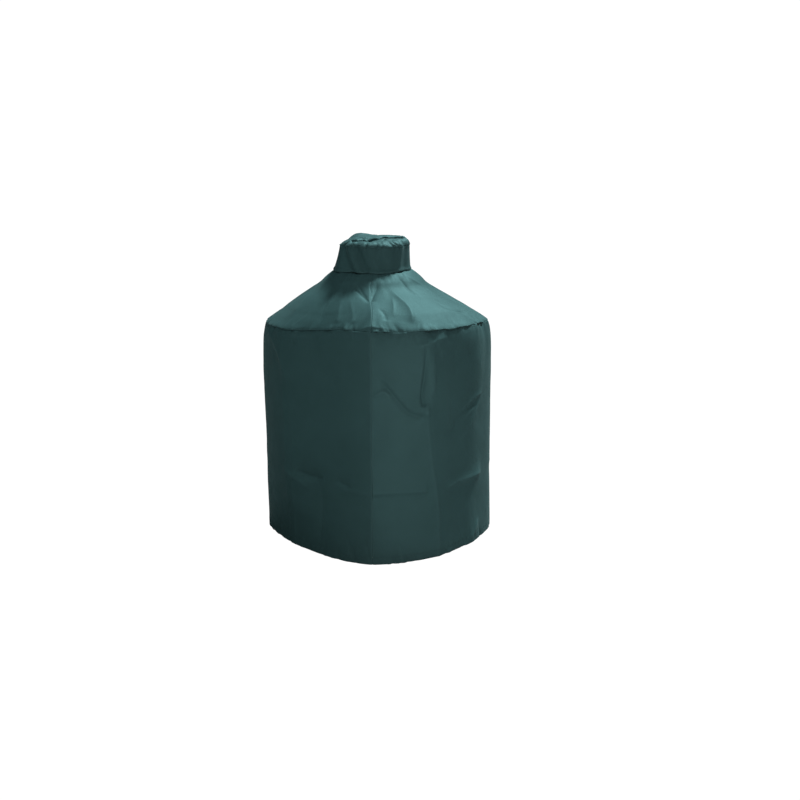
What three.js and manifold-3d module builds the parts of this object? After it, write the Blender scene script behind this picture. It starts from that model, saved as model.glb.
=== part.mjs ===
// A fitted cloth cover for an egg-shaped ceramic grill: a tall skirt, a sloping shoulder cone and
// a short cap over the chimney. Millimetres, +Z up, front towards -Y. The origin is on the ground,
// under the middle of the hem.
import * as THREE from 'three';
import { mergeVertices } from 'three/addons/utils/BufferGeometryUtils.js';
import Module from 'manifold-3d';

const wasm = await Module();
wasm.setup();

// Heights of the seams above the ground.
const SHOULDER_HEIGHT = 706;
const NECK_HEIGHT = 875;
const RIM_HEIGHT = 960;
const CROWN_HEIGHT = 982;

// Half widths from side to side.
const HEM_RADIUS = 381;
const WAIST_RADIUS = 376;
const SHOULDER_RADIUS = 361;
const SLOPE_RADIUS = 188;
const NECK_RADIUS = 128;
const RIM_RADIUS = 115;

// The cover hangs less deep than it is wide, and its shoulder seam rides up at front and back.
const HEM_DEPTH_SHARE = 0.92;
const SHOULDER_DEPTH_SHARE = 0.9;
const SEAM_RISE = 22;

// Between front, sides and back the cloth hangs flatter than an oval, most of all at the hem.
const HEM_FLATTENING = 0.06;
const SHOULDER_FLATTENING = 0.02;

// Cloth, seam tape and hem facing.
const CLOTH = 1.8;
const TAPE = 1.2;
const TAPE_WIDTH = 22;
const FACING_WIDTH = 30;
const FACING_LIFT = 0.5;
const GAP = 0.3;

// How finely the round shapes are faceted.
const AROUND = 48;
const SKIRT_STEPS = 6;
const CONE_STEPS = 5;
const CROWN_STEPS = 5;

const BELOW_GROUND = 10;
const FAR = 1000;
const MICRON = 0.001;

const clothMaterial = new THREE.MeshStandardMaterial({ color: 0x2b4a4a, roughness: 0.62 });
const capMaterial = new THREE.MeshStandardMaterial({ color: 0x2b4a4a, roughness: 0.6 });
const tapeMaterial = new THREE.MeshStandardMaterial({ color: 0x1c2424, roughness: 0.75 });

const point = (radius, height) => new THREE.Vector2(radius, height);

// The outside of the cover in section, from under the hem up to the rim of the cap.
function coverOutline() {
  const skirt = new THREE.SplineCurve([
    point(HEM_RADIUS, -BELOW_GROUND),
    point(WAIST_RADIUS + 2, SHOULDER_HEIGHT * 0.4),
    point(WAIST_RADIUS, SHOULDER_HEIGHT * 0.75),
    point(WAIST_RADIUS - 5, SHOULDER_HEIGHT - 40),
    point(SHOULDER_RADIUS, SHOULDER_HEIGHT),
  ]);
  const cone = new THREE.SplineCurve([
    point(SHOULDER_RADIUS, SHOULDER_HEIGHT),
    point(SHOULDER_RADIUS - 18, SHOULDER_HEIGHT + 18),
    point(SLOPE_RADIUS, NECK_HEIGHT - 53),
    point(NECK_RADIUS, NECK_HEIGHT),
  ]);
  const band = [
    point((NECK_RADIUS + RIM_RADIUS) / 2 - 2, (NECK_HEIGHT + RIM_HEIGHT) / 2),
    point(RIM_RADIUS, RIM_HEIGHT + BELOW_GROUND),
  ];
  return [...skirt.getPoints(SKIRT_STEPS), ...cone.getPoints(CONE_STEPS).slice(1), ...band];
}

// The outline moved towards the inside of the cover by a distance.
function insetOutline(points, distance) {
  return points.map((here, index) => {
    const before = points[Math.max(index - 1, 0)];
    const after = points[Math.min(index + 1, points.length - 1)];
    const along = after.clone().sub(before).normalize();
    return point(here.x - along.y * distance, here.y + along.x * distance);
  });
}

function solidFrom(geometry) {
  geometry.deleteAttribute('normal');
  geometry.deleteAttribute('uv');
  const merged = mergeVertices(geometry, 1e-4);
  return new wasm.Manifold(new wasm.Mesh({
    numProp: 3,
    vertProperties: Float32Array.from(merged.attributes.position.array),
    triVerts: Uint32Array.from(merged.index.array),
  }));
}

function geometryFrom(solid) {
  const mesh = solid.getMesh();
  const geometry = new THREE.BufferGeometry();
  geometry.setAttribute('position', new THREE.BufferAttribute(mesh.vertProperties, 3));
  geometry.setIndex(new THREE.BufferAttribute(mesh.triVerts, 1));
  return geometry;
}

// A ring of wall that follows the outline all the way up, some distance inside it.
function ringWall(inset, thickness) {
  const outline = coverOutline();
  const outside = insetOutline(outline, inset);
  const inside = insetOutline(outline, inset + thickness).reverse();
  const lathe = new THREE.LatheGeometry([...outside, ...inside, outside[0].clone()], AROUND);
  lathe.rotateX(Math.PI / 2);
  return solidFrom(lathe);
}

function block(low, high) {
  const size = high.clone().sub(low);
  const middle = low.clone().add(high).multiplyScalar(0.5);
  const box = new THREE.BoxGeometry(size.x, size.y, size.z);
  box.translate(middle.x, middle.y, middle.z);
  return solidFrom(box);
}

function between(solid, bottom, top) {
  return solid.intersect(block(
    new THREE.Vector3(-FAR, -FAR, bottom),
    new THREE.Vector3(FAR, FAR, top),
  ));
}

// One quarter of a ring, with side and front given as -1 or 1 along X and Y.
function quarter(solid, side, front) {
  const near = GAP / 2;
  const low = new THREE.Vector3(side > 0 ? near : -FAR, front > 0 ? near : -FAR, -FAR);
  const high = new THREE.Vector3(side > 0 ? FAR : -near, front > 0 ? FAR : -near, 2 * FAR);
  return solid.intersect(block(low, high));
}

// The strip of a ring that lies over one upright seam, in the direction given along X or Y.
function strip(solid, directionX, directionY) {
  const reach = (direction) => {
    if (direction === 0) {
      return [-TAPE_WIDTH / 2, TAPE_WIDTH / 2];
    }
    return [Math.min(direction * FAR, 0), Math.max(direction * FAR, 0)];
  };
  const [lowX, highX] = reach(directionX);
  const [lowY, highY] = reach(directionY);
  return solid.intersect(block(
    new THREE.Vector3(lowX, lowY, -FAR),
    new THREE.Vector3(highX, highY, 2 * FAR),
  ));
}

// How much of the full depth the cover has at a height.
function depthShare(height) {
  if (height < SHOULDER_HEIGHT) {
    return THREE.MathUtils.mapLinear(height, 0, SHOULDER_HEIGHT, HEM_DEPTH_SHARE, SHOULDER_DEPTH_SHARE);
  }
  const upTheCone = Math.min((height - SHOULDER_HEIGHT) / (NECK_HEIGHT - SHOULDER_HEIGHT), 1);
  return THREE.MathUtils.lerp(SHOULDER_DEPTH_SHARE, 1, upTheCone);
}

// How much of its half width the cover loses between the front and a side, at a height.
function flattening(height) {
  if (height < SHOULDER_HEIGHT) {
    return THREE.MathUtils.mapLinear(height, 0, SHOULDER_HEIGHT, HEM_FLATTENING, SHOULDER_FLATTENING);
  }
  const belowNeck = Math.max(NECK_HEIGHT - height, 0) / (NECK_HEIGHT - SHOULDER_HEIGHT);
  return SHOULDER_FLATTENING * belowNeck;
}

// How far the cloth at a height is pulled up at the front and back.
function seamLift(height) {
  if (height < SHOULDER_HEIGHT) {
    return SEAM_RISE * Math.max(height, 0) / SHOULDER_HEIGHT;
  }
  return SEAM_RISE * Math.max(NECK_HEIGHT - height, 0) / (NECK_HEIGHT - SHOULDER_HEIGHT);
}

// Turns the round pattern into the shape that it hangs in. Heights are kept to whole microns, so
// that level edges stay level.
function drape(geometry) {
  const position = geometry.attributes.position;
  for (let index = 0; index < position.count; index += 1) {
    const x = position.getX(index);
    const y = position.getY(index);
    const z = position.getZ(index);
    const radiusSquared = Math.max(x * x + y * y, 1);
    const frontShare = (y * y) / radiusSquared;
    const cornerShare = ((2 * x * y) / radiusSquared) ** 2;
    const kept = 1 - flattening(z) * cornerShare;
    const height = Math.round((z + seamLift(z) * frontShare) / MICRON) * MICRON;
    position.setXYZ(index, x * kept, y * kept * depthShare(z), height);
  }
  return geometry;
}

const cover = new THREE.Group();

function addPiece(name, solid, material) {
  const mesh = new THREE.Mesh(drape(geometryFrom(solid)), material.clone());
  mesh.name = name;
  cover.add(mesh);
}

const QUARTERS = [
  { name: 'front_left', side: -1, front: -1 },
  { name: 'front_right', side: 1, front: -1 },
  { name: 'back_right', side: 1, front: 1 },
  { name: 'back_left', side: -1, front: 1 },
];

const UPRIGHT_SEAMS = [
  { name: 'front', x: 0, y: -1 },
  { name: 'right', x: 1, y: 0 },
  { name: 'back', x: 0, y: 1 },
  { name: 'left', x: -1, y: 0 },
];

const tapeHalf = TAPE_WIDTH / 2;
const clothWall = ringWall(0, CLOTH);
const tapeWall = ringWall(CLOTH + GAP, TAPE);

// The skirt and the shoulder cone, four panels each.
const skirtRing = between(clothWall, 0, SHOULDER_HEIGHT - GAP / 2);
const coneRing = between(clothWall, SHOULDER_HEIGHT + GAP / 2, NECK_HEIGHT - GAP / 2);
for (const { name, side, front } of QUARTERS) {
  addPiece(`skirt_panel_${name}`, quarter(skirtRing, side, front), clothMaterial);
  addPiece(`cone_panel_${name}`, quarter(coneRing, side, front), clothMaterial);
}

// The cap: a band joined at the back, and a round crown that sits on its rim.
function capBand() {
  const ring = between(clothWall, NECK_HEIGHT + GAP / 2, RIM_HEIGHT - GAP / 2);
  const slot = block(
    new THREE.Vector3(-GAP / 2, 0, NECK_HEIGHT - BELOW_GROUND),
    new THREE.Vector3(GAP / 2, FAR, RIM_HEIGHT + BELOW_GROUND),
  );
  return ring.subtract(slot);
}

function crown() {
  const dome = new THREE.QuadraticBezierCurve(
    point(RIM_RADIUS, RIM_HEIGHT + GAP / 2),
    point(RIM_RADIUS * 0.75, CROWN_HEIGHT),
    point(0, CROWN_HEIGHT),
  );
  const top = dome.getPoints(CROWN_STEPS);
  const underside = top.map(({ x, y }) => point(x * (1 - CLOTH / RIM_RADIUS), y - CLOTH)).reverse();
  const inside = underside.map(({ x, y }) => point(x, Math.max(y, RIM_HEIGHT + GAP / 2)));
  const lathe = new THREE.LatheGeometry([...inside, ...top], AROUND);
  lathe.rotateX(Math.PI / 2);
  return solidFrom(lathe);
}

addPiece('cap_band', capBand(), capMaterial);
addPiece('cap_crown', crown(), capMaterial);

// The hem facing, and the tapes that seal every seam from the inside.
const facingRing = between(ringWall(CLOTH + GAP, CLOTH), FACING_LIFT, FACING_WIDTH);
addPiece('hem_facing', facingRing, clothMaterial);

const shoulderTapeBottom = SHOULDER_HEIGHT - tapeHalf;
const shoulderTapeTop = SHOULDER_HEIGHT + tapeHalf / 2;
const neckTapeBottom = NECK_HEIGHT - tapeHalf;
const neckTapeTop = NECK_HEIGHT + tapeHalf;
const rimTapeBottom = RIM_HEIGHT - tapeHalf;
addPiece('shoulder_seam_tape', between(tapeWall, shoulderTapeBottom, shoulderTapeTop), tapeMaterial);
addPiece('neck_seam_tape', between(tapeWall, neckTapeBottom, neckTapeTop), tapeMaterial);
addPiece('rim_seam_tape', between(tapeWall, rimTapeBottom, RIM_HEIGHT - GAP / 2), tapeMaterial);

const skirtTapeRing = between(tapeWall, FACING_WIDTH + GAP, shoulderTapeBottom - GAP);
const coneTapeRing = between(tapeWall, shoulderTapeTop + GAP, neckTapeBottom - GAP);
for (const { name, x, y } of UPRIGHT_SEAMS) {
  addPiece(`skirt_seam_tape_${name}`, strip(skirtTapeRing, x, y), tapeMaterial);
  addPiece(`cone_seam_tape_${name}`, strip(coneTapeRing, x, y), tapeMaterial);
}
const bandTapeRing = between(tapeWall, neckTapeTop + GAP, rimTapeBottom - GAP);
addPiece('band_seam_tape', strip(bandTapeRing, 0, 1), tapeMaterial);

export default cover;
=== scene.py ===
"""A fitted cloth cover for an egg-shaped grill: skirt, shoulder cone and gathered chimney cap.

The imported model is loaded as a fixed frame, and each of its plain cloth solids is replaced by a
draped panel with its own folds, seams, stitching and finish. Metres, +Z up, front towards -Y.
"""
from __future__ import annotations

import logging
import math
from dataclasses import dataclass, field
from enum import Enum
from typing import Callable, Sequence

import bpy
import numpy as np
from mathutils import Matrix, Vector


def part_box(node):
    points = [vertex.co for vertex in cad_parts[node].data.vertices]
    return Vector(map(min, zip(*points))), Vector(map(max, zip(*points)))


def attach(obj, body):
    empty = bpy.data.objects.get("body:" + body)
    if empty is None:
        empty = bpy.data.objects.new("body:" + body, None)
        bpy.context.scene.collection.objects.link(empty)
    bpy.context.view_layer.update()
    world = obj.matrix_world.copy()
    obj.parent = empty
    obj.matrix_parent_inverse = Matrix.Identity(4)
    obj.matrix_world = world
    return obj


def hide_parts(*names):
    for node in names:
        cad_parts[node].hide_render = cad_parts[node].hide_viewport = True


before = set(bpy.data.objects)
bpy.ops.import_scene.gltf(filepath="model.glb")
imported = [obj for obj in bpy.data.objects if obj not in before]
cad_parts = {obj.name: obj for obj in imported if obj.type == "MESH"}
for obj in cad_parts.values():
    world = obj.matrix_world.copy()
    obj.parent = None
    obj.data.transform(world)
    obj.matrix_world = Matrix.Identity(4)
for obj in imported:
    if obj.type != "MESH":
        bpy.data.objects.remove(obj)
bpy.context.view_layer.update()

log = logging.getLogger("grill_cover")

MM = 0.001
BODY = "root"

CLOTH_THICKNESS = 0.9 * MM
TAPE_THICKNESS = 0.4 * MM
SEAM_TURN = -2.9
COLUMN_STEP = 4.0 * MM
ROW_STEP = 4.0 * MM
SEAM_GAP = 0.15 * MM
HEM_STITCH_HEIGHT = 22 * MM
SLANT_ABOVE_SHOULDER = 1.75
SLANT_BELOW_NECK = 1.6
CORNER_RISE = 0.22
CREASE_RISE = 2.4
CREASE_END = 14.0

Array = np.ndarray
Surface = Callable[[Array, Array], Array]
Colour = tuple[float, float, float]


class FoldKind(Enum):
    """Which way the cloth stands along a fold; the value is its sign."""

    RIDGE = 1.0
    VALLEY = -1.0


class Quarter(Enum):
    """The four quarters of the cover, by the seam that each starts from, in quarter turns."""

    FRONT_RIGHT = 0
    BACK_RIGHT = 1
    BACK_LEFT = 2
    FRONT_LEFT = 3

    @property
    def label(self) -> str:
        """The quarter's name in lower case."""
        return self.name.lower()

    @property
    def start(self) -> float:
        """The turn of the seam that the quarter starts from, in degrees."""
        return SEAM_TURN + 90.0 * self.value


def eased(share: Array) -> Array:
    """A share from 0 to 1 with a soft start and a soft end."""
    return share * share * (3.0 - 2.0 * share)


def fading(distance: Array, reach: float) -> Array:
    """1 at no distance, falling away over reach."""
    return np.exp(-distance / reach)


def bell(distance: Array, reach: float) -> Array:
    """1 at no distance, falling away softly over reach to either side."""
    return np.exp(-((distance / reach) ** 2))


def unit_normals(across: Array, up: Array) -> Array:
    """Unit vectors square to both, which point outwards."""
    normal = np.cross(across, up)
    return normal / np.maximum(np.linalg.norm(normal, axis=-1, keepdims=True), 1e-12)


def smooth_window(value: Array, low: float, high: float, blur: float) -> Array:
    """A window that is 1 between low and high and fades over blur on each side.

    Args:
        value: Where to measure the window.
        low: The window's lower end.
        high: The window's upper end.
        blur: The width of the fade outside each end.

    Returns:
        The window at each value, from 0 to 1.
    """
    rising = np.clip((value - low) / blur + 1.0, 0.0, 1.0)
    falling = np.clip((high - value) / blur + 1.0, 0.0, 1.0)
    return eased(rising * falling)


def turn_apart(turn: Array, other: float) -> Array:
    """The signed angle from other to turn, in degrees, from -180 to 180."""
    return (turn - other + 180.0) % 360.0 - 180.0


def near_turn(turn: Array, place: float, reach: float) -> Array:
    """1 at a place round the cover, falling away softly over reach, in degrees."""
    return bell(turn_apart(turn, place), reach)


def ripple(turn: Array, seed: int, slowest: int, fastest: int) -> Array:
    """An uneven wave round the cover that meets itself after a full turn.

    Args:
        turn: Angles round the cover, in degrees.
        seed: Seed for the waves' sizes and phases.
        slowest: The fewest waves in a full turn.
        fastest: The most waves in a full turn.

    Returns:
        The wave, mostly between -1 and 1.
    """
    rng = np.random.default_rng(seed)
    total = np.zeros_like(turn, dtype=float)
    weight = 0.0
    for count in range(slowest, fastest + 1):
        size = rng.uniform(0.3, 1.0)
        phase = rng.uniform(0.0, math.tau)
        total = total + size * np.cos(np.radians(turn) * count + phase)
        weight += size * size
    return total / math.sqrt(max(weight, 1e-9))


class SoftNoise:
    """Smooth value noise on a lattice that wraps round the cover."""

    def __init__(self, seed: int, around: int, cell_height: float) -> None:
        """Makes the lattice.

        Args:
            seed: Seed for the lattice.
            around: The number of cells in a full turn.
            cell_height: The height of a cell, in metres.
        """
        rng = np.random.default_rng(seed)
        self.around = around
        self.cell_height = cell_height
        self.lattice = rng.uniform(-1.0, 1.0, (64, around))

    def at(self, turn: Array, height: Array) -> Array:
        """The noise at each angle and height, from -1 to 1."""
        across = (turn % 360.0) / 360.0 * self.around
        up = height / self.cell_height + 1.0
        column = np.floor(across).astype(int)
        row = np.clip(np.floor(up).astype(int), 0, 62)
        share_across = eased(across - column)
        share_up = eased(np.clip(up - row, 0.0, 1.0))
        left, right = column % self.around, (column + 1) % self.around
        low, high = (
            self.lattice[level, left] * (1 - share_across) + self.lattice[level, right] * share_across
            for level in (row, row + 1)
        )
        return low * (1 - share_up) + high * share_up


def smooth_curve(points: Sequence[tuple[float, float]], steps: int = 24) -> Array:
    """A Catmull-Rom curve through points.

    Args:
        points: The points that the curve passes through.
        steps: The steps between two of them.

    Returns:
        The curve's points, one row each.
    """
    given = np.array(points, float)
    padded = np.vstack([2 * given[0] - given[1], given, 2 * given[-1] - given[-2]])
    out = []
    for index in range(1, len(padded) - 2):
        before, start, end, after = padded[index - 1 : index + 3]
        for step in range(steps):
            t = step / steps
            out.append(
                0.5
                * (
                    2 * start
                    + (end - before) * t
                    + (2 * before - 5 * start + 4 * end - after) * t * t
                    + (3 * start - before - 3 * end + after) * t**3
                )
            )
    out.append(given[-1])
    return np.array(out)


@dataclass(frozen=True)
class CoverSizes:
    """The cover's main sizes, read from the frame, in metres."""

    hem_half_width: float
    hem_half_depth: float
    shoulder_half_width: float
    shoulder_half_depth: float
    shoulder_height: float
    seam_rise: float
    neck_radius: float
    neck_height: float
    rim_radius: float
    rim_height: float
    crown_height: float

    @classmethod
    def from_frame(cls) -> CoverSizes:
        """Reads the sizes from the frame's nodes."""
        _, skirt_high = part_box("skirt_panel_back_right")
        cone_low, cone_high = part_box("cone_panel_back_right")
        band_low, band_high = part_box("cap_band")
        crown_low, crown_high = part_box("cap_crown")
        return cls(
            hem_half_width=skirt_high.x,
            hem_half_depth=skirt_high.y,
            shoulder_half_width=cone_high.x,
            shoulder_half_depth=cone_high.y,
            shoulder_height=cone_low.z,
            seam_rise=skirt_high.z - cone_low.z,
            neck_radius=band_high.x,
            neck_height=band_low.z,
            rim_radius=crown_high.x,
            rim_height=crown_low.z,
            crown_height=crown_high.z,
        )


@dataclass(frozen=True)
class Fold:
    """A fold along a path on the cloth, with a flank on each side of its crest.

    Attributes:
        kind: Whether it is a ridge or a valley.
        path: Its points, as (turn in degrees, height in metres).
        depth: The crest's height or depth, in millimetres.
        left: The width of the flank on the left of the path, in millimetres.
        right: The width of the flank on its right.
        fade_in: The share of its length over which it starts.
        fade_out: The share over which it ends.
    """

    kind: FoldKind
    path: tuple[tuple[float, float], ...]
    depth: float
    left: float
    right: float
    fade_in: float = 0.2
    fade_out: float = 0.2

    def dense_path(self) -> Array:
        """The path with points about every 8 mm, as turn, height and share of its length."""
        points = smooth_curve(self.path, 6) if len(self.path) > 2 else np.array(self.path, float)
        reach = np.hypot(np.diff(points[:, 0]) * 0.006, np.diff(points[:, 1]))
        distance = np.concatenate([[0.0], np.cumsum(reach)])
        count = max(int(distance[-1] / (8 * MM)), 3) + 1
        along = np.linspace(0.0, distance[-1], count)
        turn = np.interp(along, distance, points[:, 0])
        height = np.interp(along, distance, points[:, 1])
        return np.column_stack([turn, height, along / distance[-1]])

    def profile(self, apart: Array, side: Array) -> Array:
        """The fold's height across its path, as a share of its depth.

        Args:
            apart: The distance from the path, in metres.
            side: 1 on the path's right-hand side and -1 on its left.

        Returns:
            The share of the depth, positive outwards.
        """
        width = np.where(side > 0, self.right, self.left) * MM
        crest = 1.4 * MM / width
        scaled = np.sqrt((apart / width) ** 2 + crest * crest) - crest
        return self.kind.value * np.exp(-1.2 * scaled)

    def strength(self, share: Array) -> Array:
        """How much of the fold is there at a share of its length, from 0 to 1."""
        rising = np.clip(share / self.fade_in, 0.0, 1.0)
        falling = np.clip((1.0 - share) / self.fade_out, 0.0, 1.0)
        return eased(rising * falling)


@dataclass(frozen=True)
class Puckers:
    """Small uneven gathers that run away from a seam.

    Attributes:
        seed: Seed for their places and sizes.
        count: How many there are round the cover.
        depth: Their usual depth, in millimetres.
        reach: How far they usually run from the seam, in millimetres.
        spread: Their usual half width, in millimetres, at the radius of the seam.
        radius: The seam's radius, in metres.
    """

    seed: int
    count: int
    depth: float
    reach: float
    spread: float
    radius: float

    def at(self, turn: Array, away: Array) -> Array:
        """How far they move the cloth outwards, in metres.

        Args:
            turn: Angles round the cover, in degrees.
            away: Distances from the seam, in metres.

        Returns:
            The offsets, in metres.
        """
        rng = np.random.default_rng(self.seed)
        total = np.zeros(np.broadcast(turn, away).shape)
        for _ in range(self.count):
            place = rng.uniform(0.0, 360.0)
            size = rng.uniform(0.35, 1.3) * rng.choice((-1.0, 1.0))
            reach = self.reach * MM * rng.uniform(0.5, 1.8)
            spread = self.spread * MM * rng.uniform(0.55, 1.5)
            lean = rng.uniform(-0.5, 0.5)
            across = np.radians(turn_apart(turn, place)) * self.radius - lean * away
            near = np.abs(across) < 4 * spread
            if near.any():
                bump = np.exp(-((across / spread) ** 2)) * np.exp(-((away / reach) ** 1.5))
                total += np.where(near, size * self.depth * MM * bump, 0.0)
        return total


@dataclass(frozen=True)
class Swell:
    """A broad rise or hollow: place and reach in degrees and metres, amount in millimetres."""

    turn: float
    height: float
    turn_reach: float
    height_reach: float
    amount: float

    def at(self, turn: Array, height: Array) -> Array:
        """How far it moves the cloth outwards, in metres."""
        across = turn_apart(turn, self.turn) / self.turn_reach
        up = (height - self.height) / self.height_reach
        return self.amount * MM * np.exp(-(across * across + up * up))


@dataclass(frozen=True)
class Corner:
    """Where the hanging cloth turns a corner in plan.

    Attributes:
        hem_turn: The corner's angle at the hem, in degrees.
        top_turn: Its angle at the shoulder seam.
        softness: 0 for a sharp corner and 1 for a gentle one.
        hem_loss: The share of the round pattern's radius that the corner stands back by at the hem.
        top_loss: The same share higher up.
        hem_flatness: How flat the cloth is from here to the next corner at the hem, from 0 to 1.
        top_flatness: The same higher up.
    """

    hem_turn: float
    top_turn: float
    softness: float
    hem_loss: float
    top_loss: float
    hem_flatness: float
    top_flatness: float


@dataclass(frozen=True)
class Overhang:
    """A stretch of the shoulder seam where the cone's cloth hangs over the skirt."""

    low: float
    high: float
    blur: float
    amount: float


SKIRT_CORNERS = (
    Corner(-3.0, -3.0, 0.0, 0.006, 0.0, 0.30, 0.80),
    Corner(32.0, 24.5, 0.3, -0.008, 0.0, 0.25, 0.45),
    Corner(55.0, 52.0, 0.8, 0.000, 0.010, 0.22, 0.40),
    Corner(86.0, 84.0, 0.9, -0.004, 0.0, 0.50, 0.50),
    Corner(131.0, 127.0, 0.5, 0.01, 0.0, 0.55, 0.60),
    Corner(177.0, 177.0, 0.05, 0.01, 0.0, 0.50, 0.60),
    Corner(226.0, 229.0, 0.5, 0.01, 0.0, 0.45, 0.50),
    Corner(266.0, 268.0, 0.9, 0.014, 0.0, 0.25, 0.25),
    Corner(303.0, 304.0, 0.6, 0.068, 0.025, 0.18, 0.85),
)

RIDGE, VALLEY = FoldKind.RIDGE, FoldKind.VALLEY

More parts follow.
